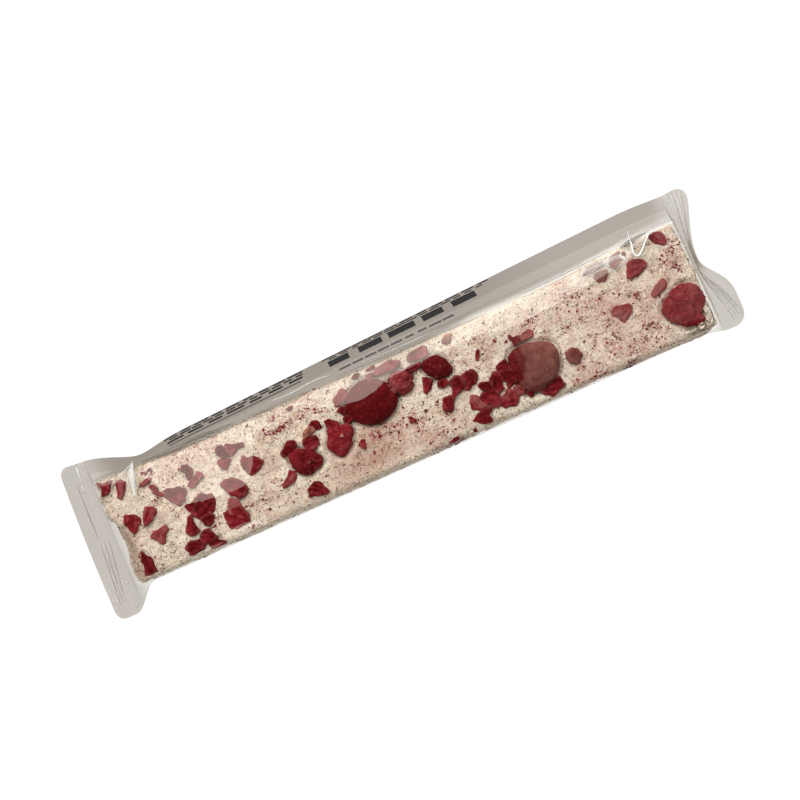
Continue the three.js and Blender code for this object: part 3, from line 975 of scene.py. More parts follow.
def shells_mesh(name, rows):
    """All shells of a table of tones and outlines in one mesh, with the tone painted on"""
    points, faces, tones = [], [], []
    for tone, corners in rows:
        shell, shift, rings = bit_shell(corners)
        faces += ring_faces(sum(map(len, points)), rings, OUTLINE_SIDES)
        points.append(shell)
        tones.append(tone + shift + layers(shell, BIT_MOTTLE))
    mesh = mesh_of(name, np.concatenate(points), faces)
    set_attribute(mesh, "tone", np.concatenate(tones))
    weld(mesh, FRUIT_WELD)
    return mesh


raspberry_bits = new_piece("raspberry_bits", shells_mesh("raspberry_bits", BITS))
bit_skin = points_of(raspberry_bits.data)
bit_push = layers(bit_skin, BIT_WAVES) - folds(bit_skin, BIT_FOLDS)
set_points(raspberry_bits.data, bit_skin + normals_of(raspberry_bits.data) * bit_push[:, None])
set_attribute(raspberry_bits.data, "crease", crease_depth(raspberry_bits.data, BIT_NEIGHBOURS))
smooth_shading(raspberry_bits.data)
print("bits", len(BITS))

# %% Flakes of nougat at the torn corner, in the same form as the bits
FLAKES = [
    (0, [(90.8, -15.9), (93.0, -15.0), (94.9, -14.8), (95.2, -15.9), (93.2, -16.7)]),
    (0, [(95.3, -15.3), (96.6, -14.5), (97.8, -15.1), (97.3, -16.4), (95.7, -16.5)]),
    (0, [(98.0, -14.7), (98.9, -12.8), (99.9, -14.2), (99.4, -16.4), (98.2, -16.3)]),
    (0, [(91.6, -17.0), (94.6, -16.6), (97.6, -16.9), (97.4, -17.6), (92.0, -17.7)]),
    (0, [(99.0, -10.6), (100.2, -9.8), (100.2, -12.0), (99.4, -12.4)]),
]
nougat_flakes = new_piece("nougat_flakes", shells_mesh("nougat_flakes", FLAKES))
smooth_shading(nougat_flakes.data)
print("flakes", len(FLAKES))

# %% [markdown]
# Dried fruit also crumbles to red grains and pink dust, and fine dark specks run all through the nougat.
# Painting them in a material would be cheap, but they would have no body. Geometry Nodes scatter small
# lumps on the bar instead, thick where a painted-on weight says so, each turned, squashed and pushed about.

# %% How thick crumbs, dust and specks lie
CRUMB_PATCHES = [
    (68, 4, 14, 8, 0.8), (82, -2, 12, 9, 0.7), (70, -10, 16, 6, 0.8), (97, 9, 4, 7, 0.7),
    (92, 4, 9, 9, 0.3), (57, 0, 9, 9, 0.5), (60, 12, 10, 4, 0.4), (-40, 11, 9, 4, 1.1),
    (-28, 12, 8, 5, 0.8), (-83, 13, 4, 3, 0.5), (-66, 14, 8, 3, 0.7), (-12, -8, 14, 6, 0.8),
    (2, -9, 10, 6, 0.6), (26, 8, 9, 5, 0.5), (28, 3, 8, 5, 0.5), (-5, -3.4, 4, 1.4, 1.2),
    (-72, 11, 12, 5, 0.4), (-60, 4, 8, 6, 0.25), (-88, -3, 9, 7, 0.25), (9, -14, 8, 4, 0.6),
    (48, 8, 6, 4, 0.7), (-52, -9, 8, 5, 0.5), (-82, 4, 4, 4, 0.7), (-45, -2, 9, 6, 0.3),
    (-68, -8, 8, 6, 0.4), (-97, -14, 4, 5, 0.6), (60, -15, 10, 3, 0.8), (80, -14, 10, 4, 0.6),
]
CRUMB_CLUSTERS = [
    (60.4, 10.4, 1.4, 1.2, 3.0), (57.8, 1.3, 1.4, 0.8, 2.5), (68.4, -3.9, 0.9, 0.9, 3.0),
    (70.0, -2.6, 0.8, 0.6, 2.0), (70.4, -6.8, 1.2, 1.0, 3.5), (79.6, 3.0, 0.9, 1.2, 3.0),
    (81.8, 1.0, 0.8, 2.4, 3.0), (82.2, -3.2, 1.2, 0.8, 2.5), (76.6, 4.9, 0.8, 1.2, 2.5),
    (82.8, -9.2, 1.4, 0.8, 2.5), (78.4, -12.0, 1.0, 0.8, 3.0), (86.3, -11.7, 0.5, 0.5, 2.0),
    (92.7, 7.4, 0.7, 0.6, 2.5), (96.5, 5.2, 0.9, 0.9, 3.0), (97.4, 3.9, 0.7, 0.7, 2.5),
    (71.6, -17.0, 1.6, 0.8, 3.0), (72.2, 6.6, 1.2, 0.8, 2.0), (67.0, 4.4, 1.2, 1.0, 2.0),
    (63.2, 10.0, 1.6, 1.2, 1.5), (59.8, -9.2, 0.7, 0.6, 2.5), (65.0, -4.6, 0.8, 0.7, 1.5),
    (74.6, -8.8, 0.8, 0.6, 2.0), (91.2, 15.4, 0.7, 0.6, 2.5), (97.5, 11.0, 1.6, 2.6, 2.0),
    (88.4, 6.4, 1.0, 0.8, 1.5), (80.2, -9.3, 0.8, 0.6, 1.5), (50.4, 2.5, 0.8, 0.6, 2.0),
    (85.0, -3.0, 1.0, 0.8, 1.2), (-85.0, 14.2, 1.0, 0.6, 2.5), (-82.4, 12.8, 0.6, 0.8, 3.0),
    (-68.4, -8.8, 0.7, 1.0, 3.0), (-71.0, -10.6, 0.8, 0.7, 2.0), (-56.5, -5.4, 0.7, 0.6, 3.0),
    (-56.7, -9.4, 0.9, 0.5, 2.5), (-85.8, -10.4, 1.0, 0.8, 1.5), (-84.0, -5.4, 0.6, 0.4, 1.5),
    (-84.0, 4.4, 0.8, 0.5, 2.5), (-83.0, 8.0, 0.8, 0.8, 2.0), (-76.0, 8.6, 1.0, 0.6, 1.5),
    (-65.6, 15.1, 1.2, 0.5, 2.5), (-71.0, -14.0, 0.7, 1.0, 2.5), (-40.6, 13.2, 1.6, 1.2, 2.5),
    (-38.8, 9.0, 2.4, 1.2, 3.5), (-42.6, 9.2, 1.6, 1.2, 1.8), (-43.2, 6.8, 0.6, 0.6, 3.0),
    (-36.6, 12.7, 1.0, 0.5, 2.0), (-35.0, 10.0, 1.6, 1.2, 1.5), (-31.6, 9.8, 1.0, 1.0, 1.5),
    (-29.2, 0.2, 0.6, 0.7, 2.5), (-19.6, -8.0, 0.8, 0.4, 2.0), (-9.5, -5.6, 2.2, 1.4, 2.0),
    (-16.0, -4.0, 0.7, 0.5, 2.0), (3.2, -6.4, 2.0, 0.8, 2.0), (9.8, -3.4, 0.6, 0.7, 3.0),
    (7.8, -13.0, 1.2, 1.6, 1.5), (11.0, -17.0, 3.0, 0.8, 2.0), (28.5, 10.0, 1.0, 0.7, 1.8),
    (22.0, 4.0, 0.6, 0.5, 2.0), (47.5, 7.9, 1.6, 0.8, 2.0),
]
TAN_AND_SHADE_PATCHES = [
    # The patch at along -12, across -3 is tan with painted shade on the near side of the dark berry; the
    # others are tan stains
    (-14, -9, 13, 6, 0.9), (-24, -13, 10, 4, 0.7), (-46, -14, 8, 4, 0.4), (-12, -3, 8, 4, 0.6),
    (6, -14, 8, 4, 0.4), (68, 4, 14, 8, 0.3), (72, -12, 14, 5, 0.3), (-97, -4, 3, 10, 0.9),
    (-72, 11, 13, 6, 0.2), (-58, 8, 8, 8, 0.2),
]
SIDE_SHARE = 0.2
UPWARD = (0.0, 0.6)
CLEAR_OF_RIM = (-1.0, 0.3)
LEAST_CRUMBS = 0.06
CLUMPS = ((3.6, 1.0, 61), (1.6, 0.7, 63))
DUST_EVEN = 0.6
DUST_IN_CLUMPS = 1.4
CRUMBS_EVEN = 0.12
CRUMBS_IN_CLUMPS = 1.5
CRUMBS_IN_CLUSTERS = 1.6
SPECKS_EVEN = 0.45
SPECKS_LEAST = 0.08
SPECK_PATCHES = ((7.0, 0.35, 62), (2.2, 0.35, 64))
SPECKS_LEFT = 1.3
SPECKS_RIGHT = 0.4
SPECKS_CHANGE = (10, 60)


def patch_weight(points, patches, least):
    """How thick something lies at points of the bar: soft patches"""
    weight = np.full(len(points), least)
    for along, across, half_length, half_width, amount in patches:
        middle = on_bar(along, across)
        u = (points[:, 0] - middle[0]) / half_length
        v = (points[:, 1] - middle[1]) / half_width
        weight += amount * np.exp(-(u * u + v * v))
    return weight


def clear_of_fruit(points):
    """0 under whole berries and 1 elsewhere"""
    clear = np.ones(len(points))
    for name in BERRIES:
        share, radius = berry_share(points, name)
        clear *= ease((share - 1) * radius, *CLEAR_OF_RIM)
    return clear


nougat_points = points_of(nougat.data)
nougat_up = np.maximum(ease(normals_of(nougat.data)[:, 2], *UPWARD), SIDE_SHARE)
nougat_clear = clear_of_fruit(nougat_points) * nougat_up
patches = patch_weight(nougat_points, CRUMB_PATCHES, LEAST_CRUMBS)
clumps = np.clip(layers(nougat_points, CLUMPS), 0, 1)
dust = np.clip(patches * (DUST_EVEN + DUST_IN_CLUMPS * clumps), 0, 1)
set_attribute(nougat.data, "dust", dust * nougat_up)
set_attribute(nougat.data, "tan_and_shade", patch_weight(nougat_points, TAN_AND_SHADE_PATCHES, 0.0))
crumbs = patches * (CRUMBS_EVEN + CRUMBS_IN_CLUMPS * clumps)
crumbs += CRUMBS_IN_CLUSTERS * patch_weight(nougat_points, CRUMB_CLUSTERS, 0.0)
set_attribute(nougat.data, "crumbs", crumbs * nougat_clear)
speckling = np.clip(SPECKS_EVEN + layers(nougat_points, SPECK_PATCHES), SPECKS_LEAST, 1)
speckling *= SPECKS_LEFT + (SPECKS_RIGHT - SPECKS_LEFT) * ease(nougat_points[:, 0], *SPECKS_CHANGE)
set_attribute(nougat.data, "specks", speckling * nougat_clear)
print("mean crumb weight", round(float(patches.mean()), 3))


# %% Scattered lumps by Geometry Nodes
LUMP_RADIUS = 0.5
LUMP_FORMS = ((0.7, 0.5, 0.8), (1.5, 1.0, 1.2))
LUMP_TURNS = ((-0.3, -0.3, -math.pi), (0.3, 0.3, math.pi))
LUMP_FEW_LARGE = 2.6
LUMP_NOISE = 900.0


def lump_node(tree, fine):
    """The lump that is scattered: eight faces for what is too fine to show more"""
    if fine:
        return add(tree, "GeometryNodeMeshUVSphere", Segments=4, Rings=2, Radius=LUMP_RADIUS)
    return add(tree, "GeometryNodeMeshIcoSphere", Subdivisions=1, Radius=LUMP_RADIUS)


def scatter_nodes(name, weight, fine):
    """Small uneven lumps on a surface, as thick as the weight painted on it says"""
    tree, given, out = new_nodes(name, Density=FLOAT, Smallest=FLOAT, Largest=FLOAT, Flatness=FLOAT,
                                 Sink=FLOAT, Ragged=FLOAT, Darkest=FLOAT, Palest=FLOAT, Seed=INTEGER,
                                 Finish=MATERIAL)
    seed = given["Seed"]
    thickness = add(tree, "GeometryNodeInputNamedAttribute", {"data_type": "FLOAT"}, Name=weight)
    density = calculate(tree, "MULTIPLY", thickness.outputs["Attribute"], given["Density"])
    spots = add(tree, "GeometryNodeDistributePointsOnFaces", Mesh=given["Geometry"], Density=density,
                Seed=seed)
    few_large = calculate(tree, "POWER", random_value(tree, seed, 0, 1), LUMP_FEW_LARGE)
    size = remap(tree, few_large, wanted=(given["Smallest"], given["Largest"]))
    form = random_value(tree, seed, *LUMP_FORMS, vector=True)
    flat = add(tree, "ShaderNodeCombineXYZ", X=1.0, Y=1.0, Z=given["Flatness"])
    shape = calculate_vector(tree, "MULTIPLY", form, flat.outputs[0])
    placed = add(tree, "GeometryNodeInstanceOnPoints", Points=spots.outputs["Points"],
                 Instance=lump_node(tree, fine).outputs["Mesh"],
                 Scale=calculate_vector(tree, "SCALE", shape, Scale=size),
                 Rotation=random_value(tree, seed, *LUMP_TURNS, vector=True))
    tone = random_value(tree, seed, given["Darkest"], given["Palest"])
    toned = add(tree, "GeometryNodeStoreNamedAttribute", {"data_type": "FLOAT", "domain": "INSTANCE"},
                Geometry=placed.outputs["Instances"], Name="tone", Value=tone)
    real = add(tree, "GeometryNodeRealizeInstances", Geometry=toned.outputs["Geometry"])
    field = add(tree, "ShaderNodeTexNoise", Scale=LUMP_NOISE)
    centred = calculate_vector(tree, "SUBTRACT", field.outputs["Color"], (0.5, 0.5, 0.5))
    ragged = calculate_vector(tree, "SCALE", centred, Scale=given["Ragged"])
    drop = add(tree, "ShaderNodeCombineXYZ", Z=given["Sink"])
    offset = calculate_vector(tree, "SUBTRACT", ragged, drop.outputs[0])
    moved = add(tree, "GeometryNodeSetPosition", Geometry=real.outputs["Geometry"], Offset=offset)
    finished = add(tree, "GeometryNodeSetMaterial", Geometry=moved.outputs["Geometry"],
                   Material=given["Finish"])
    tree.links.new(finished.outputs["Geometry"], out.inputs["Geometry"])
    return tree


def scatter(name, weight, finish, fine, **sizes):
    """Scatters lumps over the nougat and returns them as a piece of plain mesh"""
    piece = new_piece(name, nougat.data.copy())
    modifier = piece.modifiers.new(name, "NODES")
    modifier.node_group = scatter_nodes(name, weight, fine)
    set_inputs(modifier, modifier.node_group, Finish=finish, **sizes)
    apply_modifiers(piece)
    smooth_shading(piece.data)
    print(name, len(piece.data.polygons), "faces")
    return piece


# %% [markdown]
# The finish of the fruit. Dried raspberry is a deep, dull red, paler and pinker where it is dusty. Its
# creases carry painted shade, and its bumps are paler, partly from wear and partly as painted highlight. One
# number,
# the tone, runs through its colours: at 0 it is nearly black red, from there up crimson and dusty rose, and
# well below it dusky brown and the tan of a seed. A plain red would look like plastic, so random fields shift
# the tone, draw thin dark folds of painted shade and roughen the skin.

# %% Finish of the fruit
FRUIT_COLOURS = [(0.480, 0.230, 0.145, 1), (0.235, 0.080, 0.060, 1), (0.150, 0.038, 0.031, 1),
                 (0.100, 0.0020, 0.0035, 1), (0.100, 0.0020, 0.0035, 1), (0.220, 0.012, 0.018, 1),
                 (0.295, 0.085, 0.080, 1)]
LOWEST_TONE = -4.0
FRUIT_DUST_AND_HIGHLIGHT = (0.370, 0.105, 0.098, 1)
FRUIT_PAINTED_SHADE = (0.035, 0.0010, 0.0015, 1)
FRUIT_MOTTLE = 2.2
DUST_SEEN = (0.62, 0.8)
DUST_COVER = (0, 0.35)
WORN_HIGHLIT_BUMPS = (-0.04, -0.18)
WORN_HIGHLIGHT_COVER = (0, 0.4)
DEEP_CREASES = (0.02, 0.14)
DEEP_SHADE = (0, 0.75)
FOLD_WIDTH = (0, 0.03)
FOLD_SHADE = (0.4, 0)


def colour_ramp(tree, share, colours):
    """Runs evenly through colours as a share goes from 0 to 1"""
    node = add(tree, "ShaderNodeValToRGB", Fac=share)
    stops = node.color_ramp.elements
    for number in range(1, len(colours) - 1):
        stops.new(number / (len(colours) - 1))
    for stop, colour in zip(stops, colours):
        stop.color = colour
    return node.outputs["Color"]


def fruit_finish():
    material, tree, out = new_material("dried_raspberry")
    place = add(tree, "ShaderNodeTexCoord").outputs["Object"]
    crease = painted(tree, "crease")
    patches = noise(tree, place, Scale=520.0, Detail=5.0, Roughness=0.7)
    mottled = calculate(tree, "MULTIPLY_ADD", patches, FRUIT_MOTTLE, -FRUIT_MOTTLE / 2)
    tone = calculate(tree, "ADD", painted(tree, "tone"), mottled)
    share = remap(tree, tone, (LOWEST_TONE, LOWEST_TONE + len(FRUIT_COLOURS) - 1))
    skin = colour_ramp(tree, share, FRUIT_COLOURS)
    dusty = remap(tree, noise(tree, place, Scale=1500.0), DUST_SEEN, DUST_COVER)
    # Bumps are lightened towards the dusty colour: partly wear, partly painted highlight
    worn_and_highlit = remap(tree, crease, WORN_HIGHLIT_BUMPS, WORN_HIGHLIGHT_COVER)
    dust_wear_and_highlight = calculate(tree, "ADD", dusty, worn_and_highlit, clamp=True)
    dusted_and_highlit = blend_colours(tree, dust_wear_and_highlight, skin, FRUIT_DUST_AND_HIGHLIGHT)
    # Painted shade: the deeper a point lies in a crease, the darker it is
    crease_shade = remap(tree, crease, DEEP_CREASES, DEEP_SHADE)
    shaded = blend_colours(tree, crease_shade, dusted_and_highlit, FRUIT_PAINTED_SHADE)
    # Painted shade: thin dark lines where a random field crosses its middle, for folds the mesh doesn't have
    crumple = noise(tree, place, Scale=650.0, Distortion=0.8)
    away = calculate(tree, "ABSOLUTE", calculate(tree, "SUBTRACT", crumple, 0.5))
    fold_line_shade = remap(tree, away, FOLD_WIDTH, FOLD_SHADE)
    with_fold_shade = blend_colours(tree, fold_line_shade, shaded, FRUIT_PAINTED_SHADE)
    grain = noise(tree, place, Scale=2600.0, Detail=3.0)
    bump = add(tree, "ShaderNodeBump", Height=grain, Strength=0.5, Distance=0.0004)
    surface = add(tree, "ShaderNodeBsdfPrincipled", Base_Color=with_fold_shade, Roughness=0.5, Normal=bump.outputs[0],
                  Specular_IOR_Level=0.03)
    tree.links.new(surface.outputs[0], out.inputs["Surface"])
    return material


fruit = fruit_finish()
for piece in (raspberries, raspberry_bits):
    piece.data.materials.clear()
    piece.data.materials.append(fruit)
print("fruit finish", len(fruit.node_tree.nodes), "nodes")

# %% [markdown]
# The finish of the nougat: cream, mottled with beige and tan, gritty, matt and a little see-through at its
# edges. Where crumbs lie thick, fine fruit dust tints it pink. The tint reads a weight painted for it.

# %% Finish of the nougat
NOUGAT_PALE = (0.96, 0.855, 0.715, 1)
NOUGAT_BEIGE = (0.66, 0.50, 0.37, 1)
NOUGAT_TAN = (0.60, 0.40, 0.31, 1)
NOUGAT_PINK = (0.50, 0.14, 0.13, 1)
NOUGAT_SPECK = (0.22, 0.10, 0.07, 1)
NOUGAT_GRAIN = (0.40, 0.25, 0.17, 1)
NOUGAT_RED_SPECK = (0.30, 0.045, 0.045, 1)
NOUGAT_RED_GRAIN = (0.52, 0.19, 0.16, 1)
MOTTLE_SEEN = (0.47, 0.68)
PATCH_SEEN = (0.5, 0.68)
PATCH_COVER = (0, 0.35)
TAN_COVER = 0.7
PINK_SEEN = (0.46, 0.74)
GRIT_SEEN = (0.53, 0.68)
GRIT_COVER = (0, 0.75)
SPECK_SEEN = (0.65, 0.71)
SPECK_COVER = (0, 0.8)


def nougat_finish():
    material, tree, out = new_material("nougat")
    place = add(tree, "ShaderNodeTexCoord").outputs["Object"]
    dust = painted(tree, "dust")
    mottle = remap(tree, noise(tree, place, Scale=300.0, Detail=8.0, Roughness=0.8), MOTTLE_SEEN)
    body = blend_colours(tree, mottle, NOUGAT_PALE, NOUGAT_BEIGE)
    patch = remap(tree, noise(tree, place, Scale=120.0, Detail=3.0), PATCH_SEEN, PATCH_COVER)
    # The tan weight is tan staining, with painted shade beside the dark berry
    warm = calculate(tree, "MULTIPLY_ADD", painted(tree, "tan_and_shade"), TAN_COVER, patch, clamp=True)
    tanned = blend_colours(tree, warm, body, NOUGAT_TAN)
    thick = remap(tree, noise(tree, place, Scale=620.0, Detail=6.0, Roughness=0.72), PINK_SEEN)
    pink = blend_colours(tree, calculate(tree, "MULTIPLY", thick, dust, clamp=True), tanned, NOUGAT_PINK)
    grit = noise(tree, place, Scale=1400.0, Detail=4.0, Roughness=0.6)
    gritty = remap(tree, grit, GRIT_SEEN, GRIT_COVER)
    grain_colour = blend_colours(tree, dust, NOUGAT_GRAIN, NOUGAT_RED_GRAIN)
    grained = blend_colours(tree, gritty, pink, grain_colour)
    speck = remap(tree, noise(tree, place, Scale=1100.0), SPECK_SEEN, SPECK_COVER)
    speck_colour = blend_colours(tree, dust, NOUGAT_SPECK, NOUGAT_RED_SPECK)
    speckled = blend_colours(tree, speck, grained, speck_colour)
    grain = noise(tree, place, Scale=900.0, Detail=6.0, Roughness=0.65)
    bump = add(tree, "ShaderNodeBump", Height=grain, Strength=1.0, Distance=0.001)
    surface = add(tree, "ShaderNodeBsdfPrincipled", Base_Color=speckled, Roughness=0.8,
                  Normal=bump.outputs[0], Subsurface_Weight=0.12, Subsurface_Scale=0.0006,
                  Specular_IOR_Level=0.25)
    tree.links.new(surface.outputs[0], out.inputs["Surface"])
    return material


cream = nougat_finish()
for piece in (nougat, nougat_flakes):
    piece.data.materials.append(cream)
print("nougat finish", len(cream.node_tree.nodes), "nodes")


# %% Red crumbs and dark specks
SPECK_DARK = (0.045, 0.020, 0.014, 1)
SPECK_PALE = (0.22, 0.11, 0.065, 1)


def speck_finish():
    material, tree, out = new_material("dark_speck")
    colour = blend_colours(tree, painted(tree, "tone"), SPECK_DARK, SPECK_PALE)
    surface = add(tree, "ShaderNodeBsdfPrincipled", Base_Color=colour, Roughness=0.7)
    tree.links.new(surface.outputs[0], out.inputs["Surface"])
    return material


red_crumbs = scatter("red_crumbs", "crumbs", fruit, False, Density=0.6e6, Smallest=0.35 * MM,
                     Largest=1.15 * MM, Flatness=0.5, Sink=0.05 * MM, Ragged=0.5 * MM, Darkest=0.3,
                     Palest=1.4, Seed=3)
red_dust = scatter("red_dust", "crumbs", fruit, True, Density=6.5e6, Smallest=0.16 * MM, Largest=0.55 * MM,
                   Flatness=0.6, Sink=0.03 * MM, Ragged=0.2 * MM, Darkest=0.9, Palest=2.5, Seed=4)
dark_specks = scatter("dark_specks", "specks", speck_finish(), True, Density=1.3e6, Smallest=0.28 * MM,
                      Largest=0.85 * MM, Flatness=0.5, Sink=0.03 * MM, Ragged=0.15 * MM, Darkest=0.0,
                      Palest=1.0, Seed=8)

# %% [markdown]
# The film follows the rule of the solid: at each place along the pack its section has a flat top, slanting
# shoulders and a side tip, and it closes to a flat crimped fin at each end.
# The same rule is written here for whole arrays, so the film can be finer than the solid.

# %% The film's rule
SWELL_LEFT = 21.2
SWELL_RIGHT = 30.0
EAR_LEFT_FAR = 26.0
EAR_RIGHT_FAR = 29.0
EAR_RIGHT_NEAR = 19.2
NECK_AT = -84.0
NECK_DEPTH = 1.3
NECK_SPREAD = 8.0
SWELL_SHOULDER = 0.8
FIN_SHOULDER = 0.97
EDGE_ROUNDING = 10
FIN_THICKNESS = 0.5
CORNER_LEFT = 3.0
CORNER_RIGHT = 4.5
CLOSED_AT = ROOT + 1.0
CLOSING_RUN = 2.5
FAR_FLARE = (ROOT - 18, ROOT + 2)
NEAR_FLARE = (ROOT - 6, ROOT + 3.5)
FIN_TIP_RUN = 0.4
HALVINGS = 40


def corner_cut(x):
    radius = np.where(x < 0, CORNER_LEFT, CORNER_RIGHT)
    into = np.clip(1 - (END - np.abs(x)) / radius, 0, 1)
    return radius * (1 - np.sqrt(1 - into ** 2))


def far_reach(x):
    swell = SWELL_LEFT + (SWELL_RIGHT - SWELL_LEFT) * np.clip((x + HALF_LENGTH) / BAR_LENGTH, 0, 1)
    swell = swell - NECK_DEPTH * np.exp(-(((x - NECK_AT) / NECK_SPREAD) ** 2))
    ear = np.where(x < 0, EAR_LEFT_FAR, EAR_RIGHT_FAR)
    return swell + (ear - swell) * ease(np.abs(x), *FAR_FLARE) - corner_cut(x)


def near_reach(x):
    ear = np.where(x < 0, EAR_LEFT_NEAR, EAR_RIGHT_NEAR)
    return WALL + (ear - WALL) * ease(np.abs(x), *NEAR_FLARE) - corner_cut(x)


def closing(x):
    """0 over the bar's full section and 1 where the film is closed to a fin"""
    return ease(np.abs(x), CLOSED_AT - CLOSING_RUN, CLOSED_AT)


def section(x, turn):
    """Across, and share of the full height, of the film at a place along the pack and a turn round it"""
    far = np.cos(turn) > 0
    reach = np.where(far, far_reach(x), near_reach(x))
    hull = np.minimum(WALL / reach, 1)
    shoulder = np.where(far, np.maximum(SWELL_SHOULDER, hull), hull)
    shoulder = shoulder + (FIN_SHOULDER - shoulder) * closing(x)
    c, s = np.abs(np.cos(turn)), np.abs(np.sin(turn))
    norm = s ** EDGE_ROUNDING + (c + (1 - shoulder) * s) ** EDGE_ROUNDING
    scale = norm ** (-1 / EDGE_ROUNDING)
    return np.where(far, 1, -1) * reach * c * scale, s * scale


def level_height(x, share, upper):
    """Height of the film before anything lifts it"""
    thin = np.clip((END - np.abs(x)) / FIN_TIP_RUN, 0, 1) * FIN_THICKNESS / 2
    full = np.where(upper, BAR_HEIGHT + FILM_GAP - FIN_HEIGHT, FIN_HEIGHT)
    return FIN_HEIGHT + np.where(upper, 1, -1) * share * (full + (thin - full) * closing(x))


def turn_at(x, y):
    """Turn of the upper film over a place, found by halving the range of turns"""
    low = np.zeros_like(x)
    high = np.full_like(x, np.pi)
    for _ in range(HALVINGS):
        turn = (low + high) / 2
        beyond = section(x, turn)[0] > y
        low = np.where(beyond, turn, low)
        high = np.where(beyond, high, turn)
    return low


def height_at(x, y):
    """Height of the level upper film over a place"""
    return level_height(x, section(x, turn_at(x, y))[1], True)


print("film over the bar's middle", round(float(height_at(np.array([0.0]), np.array([0.0]))[0]), 2), "mm")

# %% [markdown]
# Film drawn over a bar with fruit on it lies level on the tops. On its far side it breaks along a line and
# runs straight down to the bar's edge. The slope beyond that line is what mirrors the light as a pale veil.
# A cloth simulation could find such a shape, but the line is plain to see in the picture, so it is given.
# Where a lump still stands through the drawn film, a soft swelling lifts the film clear of it.

# %% The break line of the film: along, across, rise above the level film
FILM_BREAK = [
    (-101, 18.4, 1.0), (-94, 18.0, 1.3), (-89, 16.8, 1.5), (-86, 15.4, 1.7), (-83.6, 13.4, 1.9),
    (-82.6, 8.0, 2.1), (-81.6, 3.0, 2.2), (-79.8, 0.0, 2.3), (-76, -1.8, 2.6), (-66.7, -3.3, 3.0),
    (-60, -4.2, 3.1), (-56.2, -4.0, 3.0), (-51.5, 2.0, 2.6), (-48, 12.0, 2.2), (-30, 13.0, 2.4),
    (-20.5, 9.0, 3.1), (-12.3, 7.3, 3.5), (-6.4, 8.4, 3.5), (-2.4, 10.3, 3.3), (16, 11.2, 3.1),
    (31, 11.2, 3.2), (38, 9.6, 3.4), (52, 9.8, 2.9), (70, 12.0, 2.3), (82, 13.4, 2.2), (86, 16.6, 2.2),
    (88, 17.6, 2.3), (92, 18.6, 2.3), (96, 19.2, 2.2), (102, 19.2, 1.7),
]
BREAK_STEP = 0.25
BREAK_SOFTNESS = 9
ROUNDING_LEFT = 0.07
ROUNDING_RIGHT = 0.22
ROUNDING_CHANGE = (30, 42)
VALLEY_GAP = 0.9
SLOPE_LEAST_RUN = 0.8
VALLEY_SINK = 0.15
VALLEY_WIDTH = 1.1
VALLEY_STARTS = (-50, -40)
VALLEY_STOPS = (86, 92)
NEAR_RUN = 8.0
CLEARANCE = 0.12
SWELL_FROM_NEAR = 0.8
SWELL_FROM_FAR = 0.5
SWELL_SPREADS = 3
SWELL_SOFTENINGS = 8


def break_table():
    """Place along, place across and rise of the break line in fine even steps, with its corners softened"""
    line = np.array([[*on_bar(along, across, BAR_HEIGHT + rise)[:2], rise]
                     for along, across, rise in FILM_BREAK])
    x = np.arange(-ROOT, ROOT, BREAK_STEP)
    window = np.ones(BREAK_SOFTNESS) / BREAK_SOFTNESS
    columns = [np.interp(x, line[:, 0], column) for column in (line[:, 1] - CENTRE_LINE, line[:, 2])]
    padded = [np.pad(column, BREAK_SOFTNESS // 2, "edge") for column in columns]
    return x, *[np.convolve(column, window, "valid") for column in padded]


BREAK_TABLE = break_table()


def drawn_lift(x, y):
    """Lift of the drawn film over places along and across the bar"""
    table_x, table_across, table_rise = BREAK_TABLE
    stop = far_side(x) + VALLEY_GAP
    start = np.minimum(np.interp(x, table_x, table_across), stop - SLOPE_LEAST_RUN)
    share = (y - start) / (stop - start)
    rounding = ROUNDING_LEFT + (ROUNDING_RIGHT - ROUNDING_LEFT) * ease(x, *ROUNDING_CHANGE)
    slope = np.clip(1 - (share + np.hypot(share, rounding)) / 2, 0, 1)
    near = ease(y, -WALL, -WALL + NEAR_RUN)
    valley = VALLEY_SINK * np.exp(-((y - stop) / VALLEY_WIDTH) ** 2)
    valley = valley * ease(x, *VALLEY_STARTS) * (1 - ease(x, *VALLEY_STOPS))
    return np.interp(x, table_x, table_rise) * slope * near - valley


def beside(grid):
    """The grid shifted by one cell each way: the four neighbours of every cell"""
    return [np.roll(grid, step, axis) for axis in (0, 1) for step in (1, -1)]


def swelling():
    """How far the film must swell to clear what lies under it, on the grid"""
    contents = bar_top.copy()
    for piece in (raspberries, raspberry_bits, red_crumbs):
        raise_grid(contents, points_of(piece.data))
    x, y = np.meshgrid(GRID_X, GRID_Y, indexing="ij")
    across = y - CENTRE_LINE
    flat = x.ravel(), across.ravel()
    drawn = (height_at(*flat) + drawn_lift(*flat)).reshape(x.shape)
    inside = (np.abs(x) < HALF_LENGTH) & (across > SWELL_FROM_NEAR - WALL)
    inside &= across < far_side(x) - SWELL_FROM_FAR
    swell = np.where(inside, np.maximum(contents + CLEARANCE - drawn, 0), 0)
    print("film swells by up to", round(float(swell.max()), 2), "mm")
    for _ in range(SWELL_SPREADS):
        swell = np.max([swell, *beside(swell)], axis=0)
    for _ in range(SWELL_SOFTENINGS):
        swell = np.mean([swell, *beside(swell)], axis=0)
    return swell


film_swell = swelling()

# %% [markdown]
# Each fin is pressed with crimp ribs and then bends up: the left one evenly, the right one round a fold.
# The fins' outer ends are cut straight, with rounded corners.

